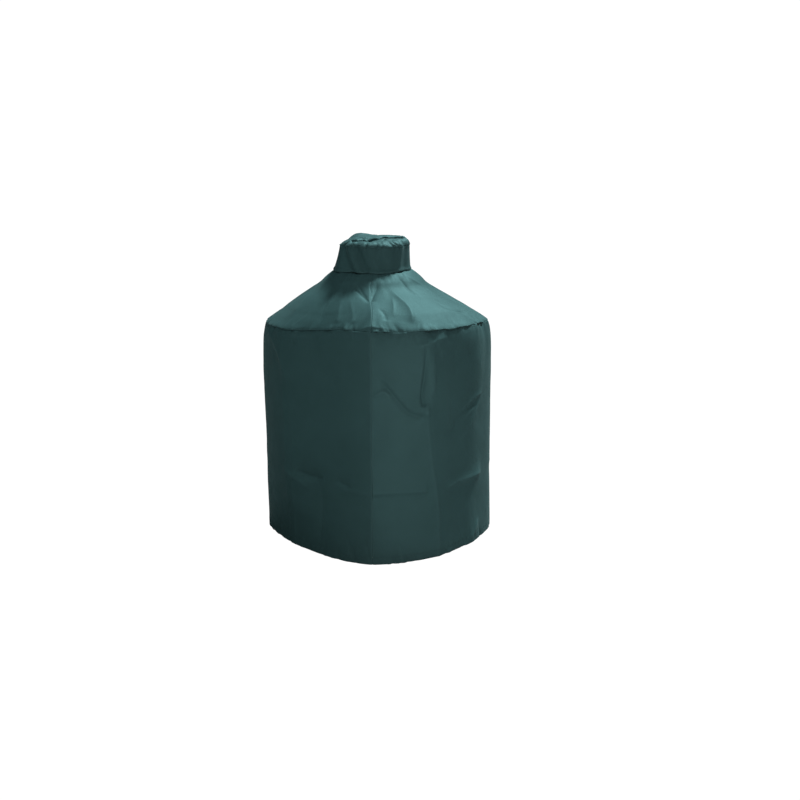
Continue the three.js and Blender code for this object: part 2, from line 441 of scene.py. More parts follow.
SKIRT_FOLDS = (
    # The front seam's corner.
    Fold(RIDGE, ((-2.9, -0.03), (-2.9, 0.76)), 0.4, 14.0, 14.0, 0.01, 0.01),
    # The tuck on the right of the front, which widens downwards to a pinched point.
    Fold(VALLEY, ((23.4, 0.690), (22.8, 0.60), (21.4, 0.520), (22.4, 0.478)), 8.0, 15.0, 4.5, 0.7, 0.06),
    Fold(RIDGE, ((22.4, 0.68), (21.6, 0.60), (20.2, 0.51)), 1.6, 4.0, 22.0, 0.3, 0.2),
    Fold(RIDGE, ((27.2, 0.66), (27.6, 0.58), (27.4, 0.50)), 4.2, 7.0, 26.0, 0.4, 0.25),
    Fold(
        RIDGE,
        ((24.4, 0.499), (24.6, 0.45), (26.0, 0.36), (27.6, 0.28), (29.6, 0.214))
        + ((31.2, 0.13), (31.6, -0.03)),
        3.2, 11.0, 16.0, 0.03, 0.03,
    ),
    # The level storage fold across the front.
    Fold(RIDGE, ((-3.0, 0.225), (10.2, 0.223), (26.0, 0.219)), 3.4, 32.0, 7.0, 0.02, 0.10),
    # The slanting crease from the seam to the pinched point, and the knuckle at its start.
    Fold(
        VALLEY,
        ((0.6, 0.574), (6.5, 0.530), (11.1, 0.495), (15.2, 0.468), (22.6, 0.450)),
        6.0, 6.0, 13.0, 0.2, 0.1,
    ),
    Fold(RIDGE, ((-2.2, 0.518), (2.9, 0.534), (7.5, 0.510)), 3.4, 6.0, 9.0, 0.3, 0.4),
    # The soft V right of the pinched point, crumpled towards its right end.
    Fold(
        VALLEY,
        ((30.0, 0.430), (38.6, 0.396), (44.0, 0.418), (50.0, 0.447), (57.0, 0.462), (67.0, 0.472)),
        7.0, 34.0, 18.0, 0.5, 0.3,
    ),
    Fold(RIDGE, ((46.0, 0.450), (52.0, 0.470), (58.0, 0.480), (68.0, 0.494)), 4.2, 12.0, 5.0, 0.3, 0.3),
    Fold(RIDGE, ((49.0, 0.424), (54.5, 0.444), (60.0, 0.452)), 2.4, 5.0, 7.0, 0.4, 0.4),
    Fold(RIDGE, ((66.0, 0.488), (52.0, 0.392), (43.5, 0.340)), 3.4, 26.0, 22.0, 0.2, 0.4),
    # The level fold on the right, with the cloth below it set back.
    Fold(
        RIDGE,
        ((36.0, 0.214), (41.0, 0.225), (48.0, 0.228), (56.0, 0.226), (69.0, 0.229)),
        8.0, 22.0, 12.0, 0.15, 0.2,
    ),
    Fold(VALLEY, ((35.0, 0.200), (48.0, 0.204), (62.0, 0.210)), 4.0, 12.0, 60.0, 0.25, 0.3),
    Fold(RIDGE, ((54.5, 0.005), (60.5, 0.040), (66.0, 0.076)), 4.0, 8.0, 9.0, 0.25, 0.35),
    # The flap line below the overhang on the right.
    Fold(RIDGE, ((18.0, 0.662), (29.7, 0.675), (38.0, 0.688)), 4.2, 10.0, 7.0, 0.4, 0.3),
    # The left of the front.
    Fold(
        VALLEY,
        ((-50.0, 0.262), (-43.5, 0.250), (-37.0, 0.246), (-30.0, 0.248)),
        7.5, 18.0, 14.0, 0.25, 0.35,
    ),
    Fold(
        RIDGE,
        ((-62.0, 0.268), (-53.0, 0.244), (-45.0, 0.220), (-40.0, 0.196)),
        5.5, 20.0, 26.0, 0.35, 0.3,
    ),
    Fold(VALLEY, ((-25.0, 0.247), (-18.0, 0.240), (-12.0, 0.230)), 4.2, 14.0, 11.0, 0.4, 0.4),
    Fold(RIDGE, ((-22.0, 0.232), (-15.0, 0.226), (-9.0, 0.224), (-3.0, 0.225)), 1.8, 9.0, 16.0, 0.3, 0.2),
    Fold(
        RIDGE,
        ((-77.0, 0.703), (-69.0, 0.676), (-60.4, 0.640), (-55.7, 0.595), (-52.5, 0.52)),
        5.0, 30.0, 10.0, 0.15, 0.4,
    ),
    Fold(RIDGE, ((-52.0, 0.55), (-51.0, 0.35), (-53.0, 0.10), (-54.0, -0.03)), 2.2, 30.0, 26.0, 0.3, 0.1),
    Fold(RIDGE, ((-58.0, 0.697), (-46.0, 0.690), (-35.0, 0.686)), 2.0, 14.0, 6.0, 0.3, 0.3),
    Fold(VALLEY, ((-33.0, 0.24), (-32.0, 0.12), (-34.0, 0.02)), 3.0, 14.0, 20.0, 0.3, 0.3),
    # The storage folds round the sides and back.
    Fold(RIDGE, ((72.0, 0.238), (96.0, 0.236), (120.0, 0.234)), 1.8, 24.0, 12.0, 0.35, 0.35),
    Fold(
        VALLEY,
        ((128.0, 0.700), (128.5, 0.61), (129.5, 0.54), (129.0, 0.48)),
        9.0, 15.0, 5.0, 0.7, 0.08,
    ),
    Fold(RIDGE, ((129.5, 0.49), (130.0, 0.30), (131.0, -0.03)), 3.0, 14.0, 12.0, 0.05, 0.05),
    Fold(
        VALLEY,
        ((94.0, 0.500), (104.0, 0.470), (115.0, 0.430), (128.0, 0.478)),
        5.0, 34.0, 20.0, 0.4, 0.1,
    ),
    Fold(RIDGE, ((133.0, 0.236), (154.0, 0.230), (176.0, 0.229)), 2.4, 28.0, 8.0, 0.3, 0.05),
    Fold(RIDGE, ((177.1, -0.03), (177.1, 0.76)), 1.4, 9.0, 9.0, 0.01, 0.01),
    Fold(
        VALLEY,
        ((131.0, 0.482), (146.0, 0.452), (160.0, 0.49), (170.0, 0.54)),
        5.0, 30.0, 18.0, 0.15, 0.3,
    ),
    Fold(
        VALLEY,
        ((180.0, 0.600), (190.0, 0.552), (197.0, 0.520), (208.0, 0.486), (220.0, 0.47)),
        4.2, 8.0, 20.0, 0.25, 0.5,
    ),
    Fold(
        VALLEY,
        ((180.0, 0.234), (192.0, 0.242), (206.0, 0.238), (224.0, 0.247)),
        3.2, 20.0, 18.0, 0.1, 0.4,
    ),
    Fold(RIDGE, ((229.0, 0.73), (228.0, 0.45), (226.0, -0.03)), 3.4, 22.0, 18.0, 0.08, 0.05),
    Fold(RIDGE, ((232.0, 0.247), (252.0, 0.240), (270.0, 0.244)), 2.0, 26.0, 14.0, 0.3, 0.5),
    Fold(VALLEY, ((236.0, 0.55), (248.0, 0.48), (259.0, 0.43), (268.0, 0.44)), 4.0, 34.0, 24.0, 0.4, 0.5),
    Fold(VALLEY, ((262.0, 0.69), (259.0, 0.62), (260.0, 0.55)), 4.0, 18.0, 12.0, 0.3, 0.3),
    Fold(VALLEY, ((84.0, 0.69), (88.0, 0.62), (86.0, 0.56)), 3.4, 16.0, 14.0, 0.3, 0.4),
    Fold(RIDGE, ((196.0, 0.02), (200.0, 0.07), (207.0, 0.11)), 3.0, 10.0, 12.0, 0.3, 0.4),
    Fold(RIDGE, ((112.0, 0.01), (116.0, 0.06), (123.0, 0.10)), 3.0, 10.0, 12.0, 0.3, 0.4),
)

SKIRT_SWELLS = (
    Swell(23.8, 0.466, 1.6, 0.011, 4.0),
    Swell(-90.0, 0.24, 30.0, 0.16, -3.0),
    Swell(10.0, 0.38, 9.0, 0.10, 2.0),
    Swell(-26.0, 0.45, 16.0, 0.16, -2.0),
    Swell(47.0, 0.56, 7.0, 0.07, -3.0),
    Swell(62.0, 0.60, 8.0, 0.09, 3.5),
    Swell(36.0, 0.35, 6.0, 0.07, 3.0),
    Swell(51.0, 0.13, 8.0, 0.06, 2.5),
    Swell(-20.0, 0.11, 10.0, 0.10, 2.0),
    Swell(-62.0, 0.14, 8.0, 0.08, -3.5),
    Swell(150.0, 0.35, 12.0, 0.12, 4.0),
    Swell(205.0, 0.38, 12.0, 0.12, 4.0),
    Swell(110.0, 0.12, 12.0, 0.10, -4.0),
    Swell(248.0, 0.60, 10.0, 0.10, 3.5),
)

CONE_FOLDS = (
    # The front seam's crease, which opens into a V of creases below the neck.
    Fold(RIDGE, ((-2.7, 0.715), (-2.9, 0.76), (-3.2, 0.80), (-3.4, 0.845)), 5.0, 26.0, 34.0, 0.04, 0.8),
    Fold(VALLEY, ((-3.2, 0.786), (-8.0, 0.803), (-17.0, 0.826), (-27.0, 0.840)), 3.0, 6.0, 4.5, 0.1, 0.5),
    Fold(VALLEY, ((-5.0, 0.797), (-9.5, 0.815), (-15.5, 0.837), (-19.5, 0.853)), 2.4, 5.0, 4.0, 0.2, 0.4),
    Fold(VALLEY, ((-3.0, 0.788), (-0.5, 0.812), (4.0, 0.838), (3.4, 0.856)), 4.0, 5.0, 9.0, 0.1, 0.4),
    Fold(RIDGE, ((-6.0, 0.812), (-5.0, 0.835), (-6.0, 0.858)), 1.4, 12.0, 12.0, 0.4, 0.4),
    # The fold and its hollow right of the front, with a crisp right edge.
    Fold(
        RIDGE,
        ((15.5, 0.828), (19.0, 0.806), (21.4, 0.780), (20.4, 0.752), (17.8, 0.728)),
        6.0, 15.0, 22.0, 0.4, 0.25,
    ),
    Fold(RIDGE, ((14.4, 0.806), (11.8, 0.777), (8.5, 0.748)), 1.9, 7.0, 8.0, 0.35, 0.3),
    Fold(VALLEY, ((1.6, 0.775), (4.2, 0.755), (4.6, 0.736)), 2.2, 7.0, 4.0, 0.4, 0.2),
    # Creases down the right.
    Fold(VALLEY, ((33.0, 0.866), (36.0, 0.840), (38.5, 0.810), (42.0, 0.790)), 3.0, 8.0, 4.5, 0.25, 0.5),
    Fold(RIDGE, ((46.0, 0.868), (55.0, 0.845), (63.0, 0.824), (61.0, 0.798)), 2.6, 14.0, 6.0, 0.25, 0.4),
    Fold(VALLEY, ((48.0, 0.792), (49.5, 0.770), (56.0, 0.752), (66.0, 0.738)), 3.2, 8.0, 5.0, 0.3, 0.3),
    Fold(VALLEY, ((78.0, 0.84), (82.0, 0.80), (88.0, 0.76)), 2.6, 12.0, 9.0, 0.3, 0.35),
    # Soft folds on the left of the front.
    Fold(RIDGE, ((-13.0, 0.724), (-15.4, 0.765), (-21.0, 0.815)), 2.0, 10.0, 15.0, 0.15, 0.6),
    Fold(RIDGE, ((-22.0, 0.724), (-25.0, 0.774), (-28.0, 0.830)), 2.0, 16.0, 10.0, 0.15, 0.6),
    Fold(VALLEY, ((-44.0, 0.84), (-38.0, 0.78), (-35.0, 0.724)), 2.2, 22.0, 20.0, 0.4, 0.2),
    Fold(RIDGE, ((-72.0, 0.82), (-66.0, 0.78), (-58.0, 0.735)), 2.4, 24.0, 26.0, 0.3, 0.3),
    # Sides and back.
    Fold(VALLEY, ((96.0, 0.858), (101.0, 0.82), (109.0, 0.77)), 3.6, 10.0, 6.0, 0.25, 0.3),
    Fold(RIDGE, ((114.0, 0.85), (120.0, 0.80), (130.0, 0.745)), 3.4, 10.0, 20.0, 0.25, 0.3),
    Fold(RIDGE, ((140.0, 0.83), (146.0, 0.79), (147.0, 0.75)), 5.0, 8.0, 24.0, 0.25, 0.25),
    Fold(RIDGE, ((177.1, 0.715), (177.1, 0.76), (177.1, 0.80)), 5.0, 38.0, 34.0, 0.05, 0.15),
    Fold(VALLEY, ((177.6, 0.79), (184.0, 0.818), (192.0, 0.85)), 3.4, 6.0, 5.0, 0.12, 0.3),
    Fold(VALLEY, ((177.0, 0.79), (170.0, 0.818), (161.0, 0.846)), 3.2, 5.0, 6.0, 0.12, 0.3),
    Fold(VALLEY, ((203.0, 0.85), (211.0, 0.80), (215.0, 0.74)), 3.2, 18.0, 9.0, 0.3, 0.25),
    Fold(RIDGE, ((236.0, 0.858), (241.0, 0.81), (250.0, 0.75)), 3.4, 9.0, 18.0, 0.25, 0.3),
    Fold(RIDGE, ((262.0, 0.84), (266.0, 0.79), (268.0, 0.74)), 3.4, 24.0, 12.0, 0.3, 0.25),
)

CONE_SWELLS = (
    Swell(84.0, 0.80, 26.0, 0.050, -5.0),
    Swell(-45.0, 0.79, 9.0, 0.030, -2.0),
    Swell(28.0, 0.785, 5.0, 0.030, 2.6),
    Swell(45.0, 0.76, 8.0, 0.024, 2.0),
    Swell(80.0, 0.77, 10.0, 0.030, -3.0),
    Swell(120.0, 0.77, 9.0, 0.030, 3.0),
    Swell(160.0, 0.78, 9.0, 0.030, -3.0),
    Swell(200.0, 0.77, 9.0, 0.030, 3.0),
    Swell(240.0, 0.78, 10.0, 0.030, -3.0),
)

SKIRT_PUCKERS = (
    Puckers(501, 120, 1.3, 20.0, 7.0, 0.36),
    Puckers(502, 46, 1.6, 55.0, 15.0, 0.36),
)
CONE_PUCKERS = (
    Puckers(511, 180, 2.2, 15.0, 4.6, 0.36),
    Puckers(512, 60, 2.0, 42.0, 10.0, 0.36),
)
NECK_PUCKERS = Puckers(521, 48, 1.0, 26.0, 6.0, 0.13)
HEM_PUCKERS = Puckers(531, 60, 1.6, 30.0, 9.0, 0.37)


@dataclass(frozen=True)
class Lump:
    """A rise or hollow in the crown: its place, reach and amount, in millimetres."""

    across: float
    back: float
    reach: float
    amount: float

    def at(self, x: Array, y: Array) -> Array:
        """How far it lifts the cloth, in metres."""
        apart = ((x / MM - self.across) ** 2 + (y / MM - self.back) ** 2) / self.reach**2
        return self.amount * MM * np.exp(-apart)


@dataclass(frozen=True)
class CrownCrease:
    """A crease in the crown, behind which the cloth stands a step higher.

    Attributes:
        path: Its points from left to right, in millimetres from the cap's middle.
        depth: The crease's depth, in millimetres.
        width: Its half width, in millimetres.
        step: How much higher the cloth stands behind it, in millimetres.
        fall: How far back the step has died away, in millimetres.
    """

    path: tuple[tuple[float, float], ...]
    depth: float
    width: float
    step: float = 0.0
    fall: float = 30.0

    def at(self, x: Array, y: Array) -> Array:
        """How far it lifts the cloth, in metres."""
        points = np.array(self.path, float)
        best = np.full(x.shape, 1e9)
        side = np.ones(x.shape)
        for start, end in zip(points[:-1], points[1:]):
            along = end - start
            from_start = (x / MM - start[0], y / MM - start[1])
            reached = from_start[0] * along[0] + from_start[1] * along[1]
            t = np.clip(reached / (along @ along), 0.0, 1.0)
            away = (from_start[0] - t * along[0], from_start[1] - t * along[1])
            distance = np.hypot(*away)
            nearer = distance < best
            best = np.where(nearer, distance, best)
            side = np.where(nearer, np.sign(along[0] * away[1] - along[1] * away[0]), side)
        signed = best * side
        rise = np.clip(signed / CREASE_RISE + 0.5, 0.0, 1.0)
        from_left = np.clip((x / MM - points[0, 0]) / CREASE_END, 0.0, 1.0)
        from_right = np.clip((points[-1, 0] - x / MM) / CREASE_END, 0.0, 1.0)
        behind = eased(rise) * fading(np.maximum(signed, 0.0), self.fall)
        return from_left * from_right * MM * (self.step * behind - self.depth * fading(best, self.width))


@dataclass(frozen=True)
class Crinkles:
    """Many short random creases over the crown.

    Attributes:
        seed: Seed for their places, directions and sizes.
        count: How many there are.
        depth: Their usual depth, in millimetres.
        width: Their usual half width, in millimetres.
        length: Their usual half length, in millimetres.
        extent: How far to each side and front and back of their middle they lie, in millimetres.
        back: How far behind the crown's middle their own middle is, in millimetres.
    """

    seed: int
    count: int
    depth: float
    width: float
    length: float
    extent: tuple[float, float]
    back: float

    def at(self, x: Array, y: Array) -> Array:
        """How far they lift the cloth, in metres."""
        rng = np.random.default_rng(self.seed)
        total = np.zeros(x.shape)
        for _ in range(self.count):
            place = rng.uniform(-1.0, 1.0, 2) * self.extent
            direction = rng.uniform(0.0, math.pi)
            size = self.depth * rng.uniform(0.4, 1.3) * rng.choice((-1.0, 1.0))
            width = self.width * rng.uniform(0.6, 1.6)
            length = self.length * rng.uniform(0.6, 1.5)
            dx, dy = x / MM - place[0], y / MM - self.back - place[1]
            along = dx * math.cos(direction) + dy * math.sin(direction)
            across = dy * math.cos(direction) - dx * math.sin(direction)
            total += size * np.exp(-np.sqrt((across / width) ** 2 + 0.1)) * bell(along, length)
        return total * MM


CROWN_LUMPS = (
    Lump(-46.0, 58.0, 34.0, 9.0),
    Lump(28.0, 44.0, 40.0, 1.5),
    Lump(-70.0, -20.0, 26.0, -2.0),
    Lump(50.0, -56.0, 30.0, 2.5),
    Lump(-20.0, -84.0, 24.0, -1.5),
)
CROWN_CREASES = (
    CrownCrease(((-106, -46), (-90, -62), (-72, -56), (-54, -70), (-36, -56), (-22, -62)), 7.0, 3.0, 8.0),
    CrownCrease(
        ((-34, -64), (-12, -52), (8, -46), (26, -30), (44, -26), (66, -6), (104, 2)),
        8.0,
        3.0,
        9.0,
    ),
    CrownCrease(((14, -64), (34, -52), (56, -44), (84, -34)), 2.6, 5.0, 1.5, 20.0),
    CrownCrease(((-60, 8), (-34, -4), (-8, 6), (18, -4)), 2.2, 5.0, 1.5, 24.0),
    CrownCrease(((6, 6), (30, 24), (52, 30), (84, 26)), 2.6, 5.0, 1.5, 24.0),
    CrownCrease(((-84, 34), (-62, 20), (-34, 22)), 2.2, 6.0, 1.0, 24.0),
)
CROWN_CRINKLES = (
    Crinkles(561, 70, 1.6, 5.0, 20.0, (105.0, 105.0), 0.0),
    Crinkles(562, 70, 4.4, 4.5, 13.0, (90.0, 54.0), -88.0),
)

OVERHANGS = (
    Overhang(25.0, 34.0, 3.0, 5.0),
    Overhang(38.0, 70.0, 4.0, 8.0),
    Overhang(96.0, 118.0, 6.0, 6.0),
    Overhang(140.0, 166.0, 6.0, 4.5),
    Overhang(190.0, 214.0, 6.0, 6.0),
    Overhang(238.0, 262.0, 6.0, 5.0),
    Overhang(274.0, 316.0, 8.0, 3.2),
    Overhang(322.0, 336.0, 6.0, 1.6),
)


# The cone's slope, as shares of its rise and of how far it runs in from the shoulder seam.
CONE_SLOPE = ((0.0, 0.0), (0.03, 0.014), (0.10, 0.080), (0.33, 0.325), (0.68, 0.735), (0.86, 0.885))

# How far the upper cone leans towards -X, in millimetres, at shares of its rise.
LEAN_SHARES = (0.0, 0.28, 0.55, 0.75, 1.0)
LEAN_AMOUNTS = (0.0, 1.0, -7.0, -11.0, -11.0)

# Where the shoulder seam stands high or low: the place and reach in degrees, the amount in millimetres.
SEAM_WAVES = ((-20.0, 7.0, 5.0), (-44.0, 12.0, -2.0), (62.0, 26.0, 13.0), (205.0, 30.0, 6.0))


class CoverForm:
    """The shape that the skirt and cone hang in, as a function of turn and height.

    Attributes:
        diagonal_loss: How much narrower the plan is on its diagonals, at hem, shoulder and neck.
        corner_weights: How much of the plan's corners shows at hem, shoulder and half way up the cone.
        normal_turn: Half the turn over which normals are measured, in degrees.
        normal_rise: Half the height over which they are measured, in metres.
        shrink_up: How much smaller the cone's texture is than the skirt's.
    """

    diagonal_loss = (0.06, 0.02, 0.0)
    corner_weights = (1.0, 0.8, 0.0)
    normal_turn = 1.5
    normal_rise = 6 * MM
    shrink_up = 1.6

    def __init__(self, sizes: CoverSizes) -> None:
        """Works out the outline from the sizes."""
        self.sizes = sizes
        shoulder = sizes.shoulder_height
        neck = sizes.neck_height
        waist = sizes.hem_half_width - 5 * MM
        self.skirt_outline = smooth_curve(
            (
                (-0.02, sizes.hem_half_width),
                (shoulder * 0.35, waist + 1.5 * MM),
                (shoulder * 0.75, waist),
                (shoulder - 0.065, waist - 3.0 * MM),
                (shoulder - 0.024, waist - 8.0 * MM),
                (shoulder, sizes.shoulder_half_width),
            )
        )
        rise = neck - shoulder
        run = sizes.shoulder_half_width - sizes.neck_radius
        slope = [
            (shoulder + rise * up, sizes.shoulder_half_width - run * inwards)
            for up, inwards in CONE_SLOPE
        ]
        under_band = [
            (neck - 1 * MM, sizes.neck_radius - 3 * MM),
            (neck + 3 * MM, sizes.neck_radius - 14 * MM),
        ]
        self.cone_outline = smooth_curve(slope + under_band)
        self.broad = SoftNoise(11, 22, 0.11)
        self.middle = SoftNoise(12, 52, 0.045)
        self.fine = SoftNoise(13, 120, 0.02)

    def radius(self, height: Array) -> Array:
        """The half width at a height of the round pattern."""
        skirt = np.interp(height, self.skirt_outline[:, 0], self.skirt_outline[:, 1])
        cone = np.interp(height, self.cone_outline[:, 0], self.cone_outline[:, 1])
        return np.where(height < self.sizes.shoulder_height, skirt, cone)

    def depth_share(self, height: Array) -> Array:
        """The depth at a height as a share of the width."""
        sizes = self.sizes
        at_hem = sizes.hem_half_depth / sizes.hem_half_width
        at_shoulder = sizes.shoulder_half_depth / sizes.shoulder_half_width
        heights = (0.0, sizes.shoulder_height, sizes.neck_height)
        return np.interp(height, heights, (at_hem, at_shoulder, 1.0))

    def corner_share(self, turn: Array, height: Array) -> Array:
        """How much of the radius is lost at and between corners of the plan."""
        share_up = np.clip(height / self.sizes.shoulder_height, 0.0, 1.0)
        rise = eased(np.clip(height / CORNER_RISE, 0.0, 1.0))
        lost = np.zeros(np.broadcast(turn, height).shape)
        for index, corner in enumerate(SKIRT_CORNERS):
            after = SKIRT_CORNERS[(index + 1) % len(SKIRT_CORNERS)]
            low = corner.hem_turn + (corner.top_turn - corner.hem_turn) * share_up
            high = after.hem_turn + (after.top_turn - after.hem_turn) * share_up
            span = (high - low) % 360.0
            along = ((turn - low) % 360.0) / span
            inside = along < 1.0
            softness = corner.softness + (after.softness - corner.softness) * along
            flat = 4.0 * along * (1.0 - along)
            soft = np.sin(math.pi * np.clip(along, 0.0, 1.0)) ** 2
            shape = flat * (1.0 - softness) + soft * softness
            sagitta = 1.0 - np.cos(np.radians(span / 2.0))
            flatness = corner.hem_flatness + (corner.top_flatness - corner.hem_flatness) * rise
            here = corner.hem_loss + (corner.top_loss - corner.hem_loss) * rise
            there = after.hem_loss + (after.top_loss - after.hem_loss) * rise
            loss = here + (there - here) * eased(along) + flatness * sagitta * shape
            lost = lost + np.where(inside, loss, 0.0)
        return lost

    def lean(self, height: Array) -> Array:
        """How far the upper cone leans towards -X, in metres."""
        shoulder, neck = self.sizes.shoulder_height, self.sizes.neck_height
        share = np.clip((height - shoulder) / (neck - shoulder), 0.0, 1.0)
        return np.interp(share, LEAN_SHARES, LEAN_AMOUNTS) * MM

    def seam_height_wave(self, turn: Array) -> Array:
        """How far the shoulder seam wanders up and down from a level line."""
        waves = sum(amount * near_turn(turn, place, reach) for place, reach, amount in SEAM_WAVES)
        return MM * (waves + 1.1 * ripple(turn, 31, 5, 14))

    def base(self, turn: Array, height: Array) -> Array:
        """The smooth hanging shape without folds.

        Args:
            turn: Angles from the front, in degrees, growing towards +X.
            height: Heights on the round pattern, in metres.

        Returns:
            Points, with x, y and z along the last axis.
        """
        sizes = self.sizes
        angle = np.radians(turn)
        shoulder, neck = sizes.shoulder_height, sizes.neck_height
        flattening = np.interp(height, (0.0, shoulder, neck), self.diagonal_loss)
        kept = 1.0 - flattening * np.sin(2.0 * angle) ** 2
        corners = self.corner_share(turn, height)
        half_way = shoulder + 0.5 * (neck - shoulder)
        corner_weight = np.interp(height, (0.0, shoulder, half_way), self.corner_weights)
        radius = self.radius(height) * kept * (1.0 - corners * corner_weight)
        lift_share = np.interp(height, (0.0, shoulder, neck), (0.0, 1.0, 0.0))
        lift = sizes.seam_rise * lift_share * np.cos(angle) ** 2
        lift = lift + self.seam_height_wave(turn) * lift_share**2
        x = radius * np.sin(angle) + self.lean(height)
        y = -radius * np.cos(angle) * self.depth_share(height)
        return np.stack([x, y, height + lift], axis=-1)

    def normal(self, turn: Array, height: Array) -> Array:
        """Unit normals of the smooth shape, pointing outwards."""
        across = self.base(turn + self.normal_turn, height) - self.base(turn - self.normal_turn, height)
        step = self.normal_rise
        is_cone = height >= self.sizes.shoulder_height
        shoulder = self.sizes.shoulder_height
        low = np.where(is_cone, np.maximum(height - step, shoulder), height - step)
        high = np.where(is_cone, height + step, np.minimum(height + step, shoulder - 1e-6))
        up = self.base(turn, high) - self.base(turn, low)
        return unit_normals(across, up)

    def fold_offset(self, fold: Fold, turn: Array, height: Array, points: Array) -> Array:
        """How far a fold moves each point outwards, in metres."""
        path = fold.dense_path()
        reach = max(fold.left, fold.right) * MM * 4.0
        margin_turn = math.degrees(reach / 0.12)
        middle = 0.5 * (path[:, 0].min() + path[:, 0].max())
        half = 0.5 * (path[:, 0].max() - path[:, 0].min()) + margin_turn
        near = (
            (np.abs(turn_apart(turn, middle)) < half)
            & (height > path[:, 1].min() - reach)
            & (height < path[:, 1].max() + reach)
        )
        offset = np.zeros(turn.shape)
        if not near.any():
            return offset
        path_points = self.base(path[:, 0], path[:, 1])
        path_normals = self.normal(path[:, 0], path[:, 1])
        close = points[near]
        best = np.full(len(close), 1e9)
        share = np.zeros(len(close))
        side = np.ones(len(close))
        for index in range(len(path) - 1):
            start, end = path_points[index], path_points[index + 1]
            along = end - start
            t = np.clip(((close - start) @ along) / max(float(along @ along), 1e-12), 0.0, 1.0)
            away = close - (start + t[:, None] * along)
            distance = np.linalg.norm(away, axis=1)
            nearer = distance < best
            best = np.where(nearer, distance, best)
            here = path[index, 2] + t * (path[index + 1, 2] - path[index, 2])
            share = np.where(nearer, here, share)
            right = np.cross(along, path_normals[index])
            side = np.where(nearer, np.sign(away @ right), side)
        offset[near] = fold.depth * MM * fold.profile(best, side) * fold.strength(share)
        return offset

    def overhang(self, turn: Array) -> Array:
        """How far the cone's edge stands out over the skirt, in metres."""
        amount = np.zeros(turn.shape)
        for stretch in OVERHANGS:
            middle = 0.5 * (stretch.low + stretch.high)
            half = 0.5 * (stretch.high - stretch.low)
            window = smooth_window(turn_apart(turn, middle), -half, half, stretch.blur)
            amount = np.maximum(amount, stretch.amount * window)
        uneven = 0.8 + 0.25 * ripple(turn, 41, 20, 44)
        return amount * MM * np.clip(uneven, 0.3, 1.3)

    def skirt_offset(self, turn: Array, height: Array, points: Array) -> Array:
        """Outward offset of the skirt's folds, swells and puckers, in metres."""
        offset = np.zeros(turn.shape)
        for fold in SKIRT_FOLDS:
            offset += self.fold_offset(fold, turn, height, points)
        for swell in SKIRT_SWELLS:
            offset += swell.at(turn, height)
        shoulder = self.sizes.shoulder_height
        below = np.maximum(shoulder - height, 0.0)
        for layer, amount in ((self.broad, 1.3), (self.middle, 0.55), (self.fine, 0.14)):
            offset += MM * amount * layer.at(turn, height)
        for puckers in SKIRT_PUCKERS:
            offset += puckers.at(turn, below)
        offset += HEM_PUCKERS.at(turn, np.maximum(height, 0.0))
        offset += MM * 1.2 * ripple(turn, 52, 5, 12) * fading(np.maximum(height, 0.0), 0.12)
        return offset - 0.7 * self.overhang(turn) * fading(below, 11 * MM)

    def cone_offset(self, turn: Array, height: Array, points: Array) -> Array:
        """Outward offset of the cone's folds, swells and puckers, in metres."""
        offset = np.zeros(turn.shape)
        for fold in CONE_FOLDS:
            offset += self.fold_offset(fold, turn, height, points)
        for swell in CONE_SWELLS:
            offset += swell.at(turn, height)
        above = np.maximum(height - self.sizes.shoulder_height, 0.0)
        calm = np.clip((self.sizes.neck_height - height) / 0.03, 0.0, 1.0)
        for layer, amount in ((self.broad, 1.0 * calm), (self.middle, 0.45 * calm), (self.fine, 0.14)):
            offset += MM * amount * layer.at(turn, height * self.shrink_up)
        gathered = 0.6 + 0.7 * smooth_window(turn_apart(turn, 6.0), -22.0, 26.0, 8.0)
        for puckers in CONE_PUCKERS:
            offset += gathered * puckers.at(turn, above * SLANT_ABOVE_SHOULDER)
        below_neck = np.maximum(self.sizes.neck_height - height, 0.0)
        offset += NECK_PUCKERS.at(turn, SLANT_BELOW_NECK * below_neck)
        return offset


def seam_steps(length: float, step: float) -> Array:
    """Distances along a panel, closer together beside the seams at its two ends.

    Args:
        length: The panel's length, in metres.
        step: The usual distance between two rows, in metres.

    Returns:
        The distances, from 0 to length.
    """
    close = np.array([0.0, 0.7, 1.4, 2.2, 3.2, 4.6, 6.4, 8.8]) * MM
    start = close[-1] + step
    count = max(int(round((length - 2 * start) / step)), 1)
    between = np.linspace(start, length - start, count + 1)
    return np.concatenate([close, between, (length - close)[::-1]])


def scene_object(name: str, data: bpy.types.ID) -> bpy.types.Object:
    """Puts a new object in the scene, at the origin."""
    made = bpy.data.objects.new(name, data)
    bpy.context.scene.collection.objects.link(made)
    return made


class GridEdge(Enum):
    """How a grid of cloth ends: open all round, joined into a ring, or a ring closed in the middle."""

    OPEN = "open"
    RING = "ring"
    DISC = "disc"

    @property
    def closed(self) -> bool:
        """Whether its last column joins its first."""
        return self is not GridEdge.OPEN


